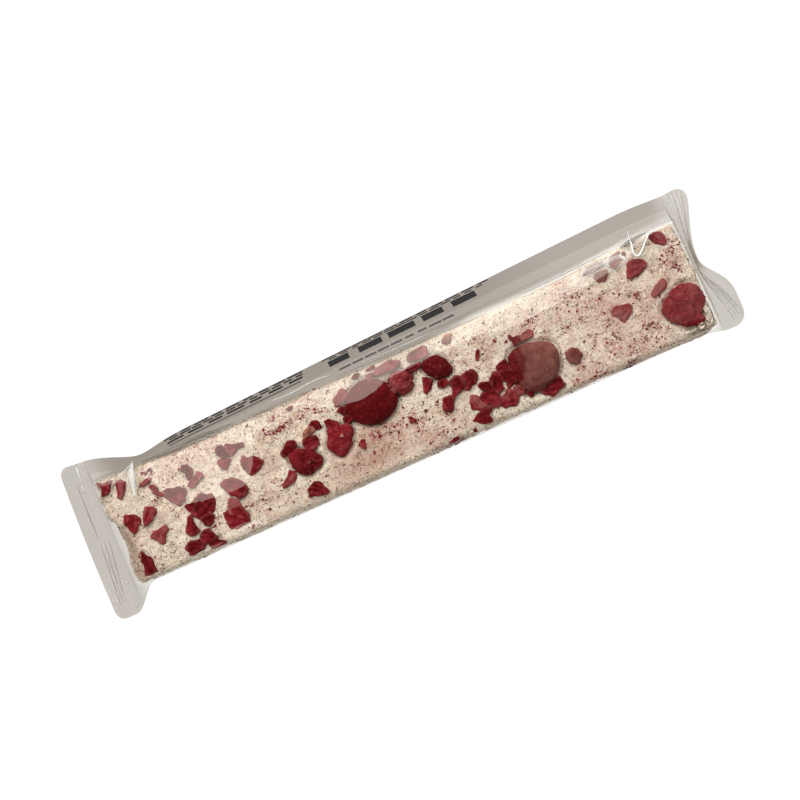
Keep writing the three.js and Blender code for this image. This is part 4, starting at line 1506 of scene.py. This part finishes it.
# %% Fins
BEND_LENGTH = 1.5
LEFT_TIP = 20.0
LEFT_TIP_TWIST = 0.8
FOLD_AT = 5.0
FOLD_ANGLE = 98.0
FOLD_NEAR = 11.0
FOLD_FAR = 23.0
CRIMP_START = 2.0
CRIMP_STOP = END - CLOSED_AT - 0.5
CRIMP_PITCH = 1.5
CRIMP_DEPTH = 0.3
CRIMP_EASE = 0.3
STEEPEST = 90
LEAST_ANGLE = 0.06
FILM_WAVES = ((17.0, 0.10, 81), (5.0, 0.02, 81))
PROBE_ALONG = 0.3
PROBE_TURN = 0.02


def fin_angle(x, y):
    left = np.clip(LEFT_TIP + LEFT_TIP_TWIST * y, 0, STEEPEST)
    spread = np.where(y < FOLD_AT, FOLD_NEAR, FOLD_FAR)
    right = FOLD_ANGLE * np.exp(-(((y - FOLD_AT) / spread) ** 2))
    return np.radians(np.maximum(np.where(x < 0, left, right), LEAST_ANGLE))


def crimp(along):
    pressed = ease(along, CRIMP_START - CRIMP_EASE, CRIMP_START)
    pressed = pressed * (1 - ease(along, CRIMP_STOP, CRIMP_STOP + CRIMP_EASE))
    return pressed * CRIMP_DEPTH / 2 * (1 - np.cos(2 * np.pi * (along - CRIMP_START) / CRIMP_PITCH))


def bend_fins(x, y, z):
    """Turns the level fins up: an arc over the bend, then straight on"""
    along = np.maximum(np.abs(x) - CLOSED_AT, 0)
    full = fin_angle(x, y)
    radius = BEND_LENGTH / full
    angle = full * np.minimum(along / BEND_LENGTH, 1)
    straight = np.maximum(along - BEND_LENGTH, 0)
    offset = z - FIN_HEIGHT + crimp(along)
    outward = CLOSED_AT + radius * np.sin(angle) + straight * np.cos(angle) - offset * np.sin(angle)
    upward = radius * (1 - np.cos(angle)) + straight * np.sin(angle) + offset * np.cos(angle)
    fin = np.abs(x) > CLOSED_AT
    return np.where(fin, np.sign(x) * outward, x), np.where(fin, FIN_HEIGHT + upward, z)


def film_points(x, turn):
    """The finished film at places along the pack and turns round it, in millimetres"""
    upper = np.sin(turn) > 0
    y, share = section(x, turn)
    z = level_height(x, share, upper)
    lift = drawn_lift(x, y) + read_grid(film_swell, x, y + CENTRE_LINE)
    lift = lift + layers(np.stack([x, y, np.zeros_like(x)], axis=1), FILM_WAVES)
    z = z + np.where(upper, lift * share ** 2 * (1 - closing(x)), 0)
    bent_x, bent_z = bend_fins(x, y, z)
    return np.stack([bent_x, y + CENTRE_LINE, np.maximum(bent_z, 0)], axis=1)


def film_outward(x, turn):
    """Directions square to the film, outwards"""
    along = film_points(x + PROBE_ALONG, turn) - film_points(x - PROBE_ALONG, turn)
    around = film_points(x, turn + PROBE_TURN) - film_points(x, turn - PROBE_TURN)
    outward = np.cross(around, along)
    return outward / np.linalg.norm(outward, axis=1, keepdims=True)


# %% The film's mesh
STATIONS = ((-END, -ROOT, 56), (-ROOT, -94, 26), (-94, 94, 300), (94, ROOT, 26), (ROOT, END, 56))
HALF_TURNS = ((0, 48, 16), (48, 54, 8), (54, 128, 60), (128, 140, 8), (140, 180, 6))
FIN_GREY = (0.60, 0.53)
FIN_GREY_RUN = (5.5, 1.0)
FIN_GREY_BEYOND = (-1, 2)
BAND_GREY_RUN = 4.0
BAND_GREY_LEFT = 1.0
BAND_GREY_RIGHT = 0.8
BAND_GREY_CHANGE = (20, 70)
BAND_EDGE_LEFT = (-0.9, -0.1)
BAND_EDGE_RIGHT = (0.2, 3.0)
BAND_EDGE_CHANGE = (10, 35)
SHINE_CHANGE = (-45, 25)
FILM_WELD = 0.002


def steps(*stretches):
    """Places spread evenly over each stretch: (from, to, count)"""
    parts = [np.linspace(start, stop, count, endpoint=False) for start, stop, count in stretches]
    return np.concatenate([*parts, [stretches[-1][1]]])


def looseness(x, turn):
    """How grey the film looks: 0 over the bar, more on the slack band and the fins"""
    # The grey on the slack band and the fins is partly painted shade
    beyond = section(x, turn)[0] - far_side(x)
    run = np.where(x < 0, *FIN_GREY_RUN) + BAND_GREY_RUN * ease(beyond, *FIN_GREY_BEYOND)
    fins = ease(np.abs(x), ROOT - run, CLOSED_AT)
    band = BAND_GREY_LEFT + (BAND_GREY_RIGHT - BAND_GREY_LEFT) * ease(x, *BAND_GREY_CHANGE)
    change = ease(x, *BAND_EDGE_CHANGE)
    start, stop = [left + (right - left) * change for left, right in zip(BAND_EDGE_LEFT, BAND_EDGE_RIGHT)]
    return band * ease(beyond, start, stop) * (1 - fins) + np.where(x < 0, *FIN_GREY) * fins


def film_mesh():
    places = steps(*STATIONS)
    half = steps(*HALF_TURNS)
    turns = np.radians(np.concatenate([half, 360 - half[-2:0:-1]]))
    x, turn = [grid.ravel() for grid in np.meshgrid(places, turns, indexing="ij")]
    mesh = mesh_of("film", film_points(x, turn), ring_faces(0, len(places), len(turns)))
    set_attribute(mesh, "loose", looseness(x, turn))
    set_attribute(mesh, "shine", ease(x, *SHINE_CHANGE))
    weld(mesh, FILM_WELD)
    smooth_shading(mesh)
    return mesh


film = new_piece("film", film_mesh())
print("film", len(film.data.polygons), "faces")

# %% [markdown]
# The film's finish. Glass would do, but light doesn't pass a glass surface to what lies under it without
# slow and grainy tricks. A film this thin doesn't bend light either, so it is mostly a Transparent shader,
# with a mirror mixed in by the angle of view: a little from above and much more along the surface.
# Loose film, seen through twice, looks greyer than film that lies on the bar. Its grey tint is partly painted
# shade, for the glowing floor casts no shadow under it.

# %% Finish of the film
FILM_OVER_BAR = (0.985, 0.975, 0.950, 1)
FILM_LOOSE_HAZE_AND_SHADE = (0.600, 0.566, 0.526, 1)
FILM_SHINE = (1.0, 0.93, 0.84, 1)
FILM_MIRROR_LEFT = 0.050
FILM_MIRROR_RIGHT = 0.070
FILM_MIRROR_LOOSE = 0.02
FILM_MIRROR_STEEP = 0.3
STEEPNESS = 5.0
LOOSE_FROM = 0.5


def film_finish():
    material, tree, out = new_material("clear_film")
    loose = painted(tree, "loose")
    # Painted shade in part: loose film is tinted grey
    tint = blend_colours(tree, loose, FILM_OVER_BAR, FILM_LOOSE_HAZE_AND_SHADE)
    clear = add(tree, "ShaderNodeBsdfTransparent", Color=tint)
    mirror = add(tree, "ShaderNodeBsdfAnisotropic", Color=FILM_SHINE, Roughness=0.04)
    facing = add(tree, "ShaderNodeLayerWeight", Blend=0.5)
    steep = calculate(tree, "POWER", facing.outputs["Facing"], STEEPNESS)
    over_bar = remap(tree, painted(tree, "shine"), wanted=(FILM_MIRROR_LEFT, FILM_MIRROR_RIGHT))
    least = remap(tree, loose, (0, LOOSE_FROM), (over_bar, FILM_MIRROR_LOOSE))
    share = remap(tree, steep, wanted=(least, FILM_MIRROR_STEEP))
    mixed = add(tree, "ShaderNodeMixShader", values=(share, clear.outputs[0], mirror.outputs[0]))
    tree.links.new(mixed.outputs[0], out.inputs["Surface"])
    return material


film.data.materials.append(film_finish())
print("film finish", len(film.data.materials[0].node_tree.nodes), "nodes")

# %% [markdown]
# Painted light on the film. Lines of painted highlight stand for the glints along its folds and for a broad
# pale sheen. Lines of painted shade stand for the shadow along the bar's far edge and under the film's edge,
# the gaps at the torn corner and the shade between the crimps of the fins. Each line is a slim raised rib on
# the film: lines over the bar are read in the picture, those on the fins run along the seal.

# %% Painted light over the bar: width, share of highlight (1 painted highlight, 0 painted shade), cover and the places along and across that the line passes
# High shares are painted highlights: glints along folds and broad pale sheens. Low shares are painted shade:
# the shadow along the bar's far edge, a shaded wedge at the right, the dark edge of the film and the gaps
# between the flakes at the torn corner.
BAR_LIGHT_LINES = [
    (0.8, 1.0, 0.95, [(87.2, 21.5), (86.3, 17.6), (85.5, 14.6), (85.6, 13.1), (86.7, 12.5), (88.3, 13.7),
                      (90.3, 15.8), (92.7, 18.0), (94.1, 19.0)]),
    (0.45, 0.85, 0.8, [(82.0, 18.2), (86.1, 19.1), (89.1, 19.2), (92.0, 18.9), (97.1, 18.8)]),
    (1.7, 0.1, 0.5, [(82.6, 17.3), (85.0, 18.0), (88.4, 18.4), (91.8, 18.4)]),
    (1.0, 1.0, 0.5, [(81.2, 15.6), (82.0, 14.2), (82.5, 12.8)]),
    (0.9, 1.0, 0.4, [(76.2, 15.0), (76.9, 13.2)]),
    (0.5, 1.0, 0.3, [(60.0, 12.2), (70.0, 13.8), (77.5, 15.6)]),
    (3.0, 1.0, 0.2, [(67.5, 15.2), (75.0, 15.5), (82.0, 15.2)]),
    (0.3, 1.0, 0.3, [(69.0, 12.8), (76.0, 13.9)]),
    (0.5, 1.0, 0.6, [(-87.0, 19.0), (-89.5, 16.9), (-92.9, 16.2)]),
    (0.5, 1.0, 0.5, [(-86.9, 19.0), (-88.9, 15.4), (-90.6, 12.4)]),
    (2.6, 1.0, 0.3, [(-86.8, 19.4), (-87.9, 15.5), (-88.9, 12.2), (-89.8, 8.2)]),
    (1.2, 1.0, 0.25, [(-86.8, 19.4), (-87.8, 15.5), (-88.6, 11.2)]),
    (0.4, 1.0, 0.7, [(-86.7, 19.0), (-87.2, 15.2), (-88.4, 10.6)]),
    (0.45, 0.9, 0.8, [(-39.2, 18.5), (-31.8, 17.9), (-23.6, 18.9), (-17.8, 18.4)]),
    (0.35, 0.0, 0.5, [(-86.0, 18.1), (-74.2, 16.6), (-66.9, 17.4), (-58.5, 16.9), (-52.5, 17.0)]),
    (1.9, 0.0, 0.22, [(-84.0, 17.6), (-74.0, 17.0), (-66.0, 17.4), (-58.0, 17.0), (-52.0, 16.8)]),
    (1.0, 0.0, 0.30, [(-70.0, 17.2), (-64.0, 17.5), (-57.0, 17.0)]),
    (0.6, 0.0, 0.35, [(-47.8, 16.3), (-42.0, 16.1), (-38.5, 16.2)]),
    (0.35, 0.8, 0.8, [(-8.0, 18.0), (6.0, 17.4), (20.0, 17.6)]),
    (0.30, 0.15, 0.4, [(-16.0, 17.0), (0.0, 16.6), (16.0, 16.8)]),
    (0.35, 0.8, 0.8, [(36.0, 17.2), (52.0, 17.5), (70.0, 18.2)]),
    (0.30, 0.2, 0.45, [(46.0, 16.8), (62.0, 17.2), (80.0, 18.0)]),
    (0.45, 0.0, 0.75, [(100.1, -9.8), (100.8, -12.6), (100.7, -15.5), (99.8, -17.0), (97.0, -17.2),
                       (94.0, -17.0), (91.0, -17.4)]),
    (0.6, 0.0, 0.85, [(90.6, -14.4), (92.4, -15.3), (94.0, -14.8), (95.2, -15.9)]),
    (0.6, 0.0, 0.85, [(95.3, -14.6), (96.8, -15.6), (98.2, -14.4), (99.2, -15.8)]),
    (0.5, 0.0, 0.85, [(91.4, -16.5), (94.4, -16.3), (96.0, -16.9), (98.6, -16.5)]),
]

# %% Painted light on the fins: side, place along the fin and across at each end, width, share of highlight (1 painted highlight, 0 painted shade)
# On the fins, low shares are painted shade between the crimps and high shares are painted highlights on them.
FIN_LIGHT_LINES = [
    (-1, 2.6, 0, 5.2, -20, 0.35, 0.0), (-1, 4.1, 0, 6.1, -20, 0.35, 0.0),
    (-1, 5.5, 0, 7.0, -21, 0.35, 0.0), (-1, 3.4, -1, 5.7, -20, 0.30, 0.9),
    (-1, 4.8, -1, 6.6, -20, 0.30, 0.9), (-1, 5.6, 20, 5.6, 1, 0.35, 0.3), (-1, 3.6, 25, 3.9, 20, 0.5, 1.0),
    (-1, 4.0, 19, 4.3, 16, 0.45, 1.0), (-1, 2.4, 12.6, 2.5, 11.6, 0.5, 1.0),
    (-1, 2.4, -14.2, 2.5, -15.2, 0.5, 1.0), (-1, 2.5, -21.8, 2.6, -22.8, 0.5, 1.0),
    (1, 2.8, 5.0, 9.0, -17, 0.30, 0.0), (1, 2.5, 4.4, 8.4, -17, 0.30, 0.8),
    (1, 2.2, 3.8, 7.7, -17, 0.30, 0.0), (1, 1.9, 3.2, 6.6, -17, 0.30, 0.8),
    (1, 1.7, 2.6, 5.4, -17, 0.30, 0.0), (1, 4.6, -12.4, 4.8, -13.8, 0.5, 1.0),
    (1, 3.2, 27, 3.2, 18, 0.4, 1.0), (1, 4.6, 27, 4.6, 8, 0.30, 0.0), (1, 6.0, 27, 6.0, 16, 0.35, 0.8),
    (1, 7.4, 26, 7.4, 8, 0.30, 0.0),
]
CREASE_STEP = 0.4
CORNER_CUTS = 3
RIB_PROFILE = ((-0.5, -0.04), (0.0, 0.16), (0.5, -0.04), (0.0, -0.1))
RIB_TAPER = (0.02, 0.98)
FIN_COVER_SHADE = 0.28
FIN_COVER_HIGHLIGHT = 0.9
FINE_WELD = 0.001
CREASE_PAINTED_SHADE = (0.20, 0.17, 0.13, 1)
CREASE_PAINTED_HIGHLIGHT = (0.95, 0.94, 0.90, 1)


def smooth_line(corners):
    """A smooth line through corners, in even steps of about CREASE_STEP"""
    line = cut_corners(corners, CORNER_CUTS, False)
    run = along_line(line)
    places = np.linspace(0, run[-1], max(4, int(run[-1] / CREASE_STEP)))
    return np.stack([np.interp(places, run, column) for column in line.T], axis=1)


def rib(x, y, width, points, faces):
    """Adds a slim closed rib along places of the upper film"""
    turn = turn_at(x, y)
    base = film_points(x, turn)
    way = np.gradient(base, axis=0)
    way /= np.linalg.norm(way, axis=1, keepdims=True)
    outward = film_outward(x, turn)
    aside = np.cross(way, outward)
    taper = np.sin(np.pi * np.linspace(*RIB_TAPER, len(x)))[:, None] ** 0.5
    ring = [base + taper * (aside * width * u + outward * v) for u, v in RIB_PROFILE]
    first = sum(map(len, points))
    count = len(RIB_PROFILE)
    last = first + (len(x) - 1) * count
    points.append(np.stack(ring, axis=1).reshape(-1, 3))
    faces += ring_faces(first, len(x), count)
    faces += [tuple(range(first, first + count)), tuple(reversed(range(last, last + count)))]
    return len(x) * count


def light_lines_mesh():
    points, faces, highlight_shares, covers = [], [], [], []
    for width, white, cover, corners in BAR_LIGHT_LINES:
        places = np.array([on_bar(along, across, BAR_HEIGHT + FILM_GAP)[:2] for along, across in corners])
        line = smooth_line(places)
        count = rib(line[:, 0], line[:, 1] - CENTRE_LINE, width, points, faces)
        highlight_shares.append(np.full(count, white))
        covers.append(np.full(count, cover))
    for side, along0, across0, along1, across1, width, white in FIN_LIGHT_LINES:
        line = smooth_line([(side * (ROOT + along0), across0), (side * (ROOT + along1), across1)])
        count = rib(line[:, 0], line[:, 1], width, points, faces)
        highlight_shares.append(np.full(count, white))
        covers.append(np.full(count, FIN_COVER_SHADE + (FIN_COVER_HIGHLIGHT - FIN_COVER_SHADE) * white))
    mesh = mesh_of("film_creases", np.concatenate(points), faces)
    set_attribute(mesh, "white", np.concatenate(highlight_shares))
    set_attribute(mesh, "cover", np.concatenate(covers))
    weld(mesh, FINE_WELD)
    smooth_shading(mesh)
    return mesh


def light_lines_finish():
    material, tree, out = new_material("creased_film")
    # Painted light: each rib's colour runs from painted shade to painted highlight by the share painted on it
    colour = blend_colours(tree, painted(tree, "white"), CREASE_PAINTED_SHADE, CREASE_PAINTED_HIGHLIGHT)
    clear = add(tree, "ShaderNodeBsdfTransparent")
    painted_light_surface = add(tree, "ShaderNodeBsdfPrincipled", Base_Color=colour, Roughness=0.3)
    cover = painted(tree, "cover")
    mixed = add(tree, "ShaderNodeMixShader", values=(cover, clear.outputs[0], painted_light_surface.outputs[0]))
    tree.links.new(mixed.outputs[0], out.inputs["Surface"])
    return material


film_creases = new_piece("film_creases", light_lines_mesh())
film_creases.data.materials.append(light_lines_finish())
print("creases", len(BAR_LIGHT_LINES) + len(FIN_LIGHT_LINES))

# %% [markdown]
# Print. Dark ink lies on the steep outer side of the slack film, as plain bars in rows.
# Geometry Nodes lay the bars out flat: along the pack, and up the film in degrees of turn.
# A few lines of code then wrap the flat layout onto the film, since they know the film's rule.

# %% Rows of print: from, to, lowest turn, highest turn, mean length of a bar
PRINT_ROWS = [
    (-20, 38, 3.0, 8.0, 5.5), (-18, 36, 12.0, 17.0, 4.0), (-20, 36, 22.0, 43.0, 11.0),
    (-16, 24, 50.5, 52.0, 4.5), (-76, -26, 4.0, 11.0, 5.5), (-74, -28, 16.0, 23.0, 4.0),
    (-75, -27, 28.0, 36.0, 7.0), (-78, -24, 42.0, 44.0, 54.0),
]
PRINT_LIFT = 0.04
PRINT_THICKNESS = 0.03
PRINT_SHARES = (0.55, 0.95)
PRINT_INK = (0.022, 0.021, 0.022, 1)


def print_nodes():
    """A row of plain bars of uneven lengths"""
    tree, given, out = new_nodes("print_row", Start=FLOAT, Pitch=FLOAT, Count=INTEGER, Low=FLOAT, High=FLOAT,
                                 Seed=INTEGER, Finish=MATERIAL)
    middle = calculate(tree, "MULTIPLY_ADD", given["Pitch"], 0.5, given["Start"])
    level = calculate(tree, "MULTIPLY", calculate(tree, "ADD", given["Low"], given["High"]), 0.5)
    first = add(tree, "ShaderNodeCombineXYZ", X=middle, Y=level)
    step = add(tree, "ShaderNodeCombineXYZ", X=given["Pitch"])
    row = add(tree, "GeometryNodeMeshLine", Count=given["Count"], Start_Location=first.outputs[0],
              Offset=step.outputs[0])
    bar = add(tree, "GeometryNodeMeshCube", Size=(1, 1, 1), Vertices_X=14, Vertices_Y=4, Vertices_Z=2)
    length = calculate(tree, "MULTIPLY", random_value(tree, given["Seed"], *PRINT_SHARES), given["Pitch"])
    height = calculate(tree, "SUBTRACT", given["High"], given["Low"])
    scale = add(tree, "ShaderNodeCombineXYZ", X=length, Y=height, Z=1.0)
    placed = add(tree, "GeometryNodeInstanceOnPoints", Points=row.outputs["Mesh"],
                 Instance=bar.outputs["Mesh"], Scale=scale.outputs[0])
    real = add(tree, "GeometryNodeRealizeInstances", Geometry=placed.outputs["Instances"])
    finished = add(tree, "GeometryNodeSetMaterial", Geometry=real.outputs["Geometry"],
                   Material=given["Finish"])
    tree.links.new(finished.outputs["Geometry"], out.inputs["Geometry"])
    return tree


def ink_finish():
    material, tree, out = new_material("ink")
    surface = add(tree, "ShaderNodeBsdfPrincipled", Base_Color=PRINT_INK, Roughness=0.45)
    tree.links.new(surface.outputs[0], out.inputs["Surface"])
    return material


def print_mesh():
    """The flat layout of every row, wrapped onto the film"""
    ink = ink_finish()
    tree = print_nodes()
    layout = bmesh.new()
    for number, (start, stop, low, high, pitch) in enumerate(PRINT_ROWS):
        row = new_piece("row", bpy.data.meshes.new("row"))
        modifier = row.modifiers.new("print", "NODES")
        modifier.node_group = tree
        set_inputs(modifier, tree, Start=float(start), Pitch=pitch, Low=low, High=high, Seed=number,
                   Count=max(1, round((stop - start) / pitch)), Finish=ink)
        apply_modifiers(row)
        layout.from_mesh(row.data)
        bpy.data.objects.remove(row)
    mesh = bpy.data.meshes.new("print")
    layout.to_mesh(mesh)
    layout.free()
    flat = points_of(mesh) * MM
    lift = PRINT_LIFT + PRINT_THICKNESS * (flat[:, 2] > 0)
    x, turn = flat[:, 0], np.radians(flat[:, 1])
    set_points(mesh, film_points(x, turn) + film_outward(x, turn) * lift[:, None])
    mesh.materials.append(ink)
    return mesh


printed = new_piece("print", print_mesh())
weld(printed.data, FINE_WELD)
print("print", len(printed.data.polygons), "faces")

# %% [markdown]
# Light. A wide soft panel behind the far side lights the bar, throws the berries' shadows towards the
# viewer, and shows in the film wherever it slopes away: those are the pale veils on the fruit.
# Straight overhead it is dark, so film that lies level stays clear. A low panel on the near side fills the
# shadows, strips and a weak panel glint at the ends, and a small bright key gives the berries their shadows.

# %% Floor and lights: name, heading, elevation in degrees, distance and size in metres, brightness
FLOOR_HALF = 20.0
FLOOR_BELOW = 0.05
LIGHTS = [
    ("far_panel", (-0.08, 0.99), 47.5, 0.62, (1.10, 0.58), 3.1),
    ("right_high", (1.0, -0.1), 62, 0.60, (0.9, 0.36), 0.22),
    ("near_fill", (-0.6, -0.8), 21, 0.80, (0.8, 0.30), 2.2),
    ("left_strip", (-1.0, 0.25), 38, 0.80, (0.6, 0.07), 9.0),
    ("right_strip", (1.0, 0.25), 38, 0.80, (0.6, 0.07), 9.0),
    ("key", (-0.3, 0.95), 36, 0.80, (0.09, 0.09), 41.0),
]
FLOOR_GLOW = 1.02
WORLD_GLOW = 0.03


def panel(name, heading, elevation, distance, size, radiance):
    """A soft panel that faces the bar, of a given brightness per area"""
    data = bpy.data.lights.new(name, "AREA")
    data.shape = "RECTANGLE"
    data.size, data.size_y = size
    data.energy = radiance * math.pi * size[0] * size[1]
    lamp = bpy.data.objects.new(name, data)
    flat = Vector((*heading, 0)).normalized() * math.cos(math.radians(elevation))
    way = Vector((flat.x, flat.y, math.sin(math.radians(elevation))))
    lamp.location = way * distance
    lamp.rotation_euler = way.to_track_quat("Z", "Y").to_euler()
    bpy.context.collection.objects.link(lamp)
    return lamp


for settings in LIGHTS:
    panel(*settings)
# The film doesn't mirror the key, whose small bright face would show as a hard white block
bpy.data.objects["key"].visible_glossy = False

world = bpy.data.worlds.new("world")
world.use_nodes = True
world.node_tree.nodes["Background"].inputs["Color"].default_value = (1, 1, 1, 1)
world.node_tree.nodes["Background"].inputs["Strength"].default_value = WORLD_GLOW
bpy.context.scene.world = world

floor_corners = np.array([(-1, -1, 0), (1, -1, 0), (1, 1, 0), (-1, 1, 0)]) * FLOOR_HALF / MM
floor = new_piece("floor", mesh_of("floor", floor_corners - np.array([0, 0, FLOOR_BELOW]), [(0, 1, 2, 3)]))
floor_material, floor_tree, floor_out = new_material("floor")
floor_glow = add(floor_tree, "ShaderNodeEmission", Color=(1, 1, 1, 1), Strength=FLOOR_GLOW)
floor_tree.links.new(floor_glow.outputs[0], floor_out.inputs["Surface"])
floor.data.materials.append(floor_material)
floor.visible_glossy = False
bpy.context.scene.view_settings.view_transform = "Standard"

# %% [markdown]
# Last, each piece is tied to the frame: it rides on the pack's one body. The solid itself is hidden. The
# film stands for the solid.

# %% Tie the pieces to the frame
SLOTS = {nougat: "nougat", raspberries: "raspberry", raspberry_bits: "raspberry", red_crumbs: "raspberry",
         red_dust: "raspberry", dark_specks: "nougat", nougat_flakes: "nougat", film: "film",
         film_creases: "film", printed: "print"}
for piece, slot in SLOTS.items():
    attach(piece, "root")
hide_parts("wrapped_bar")
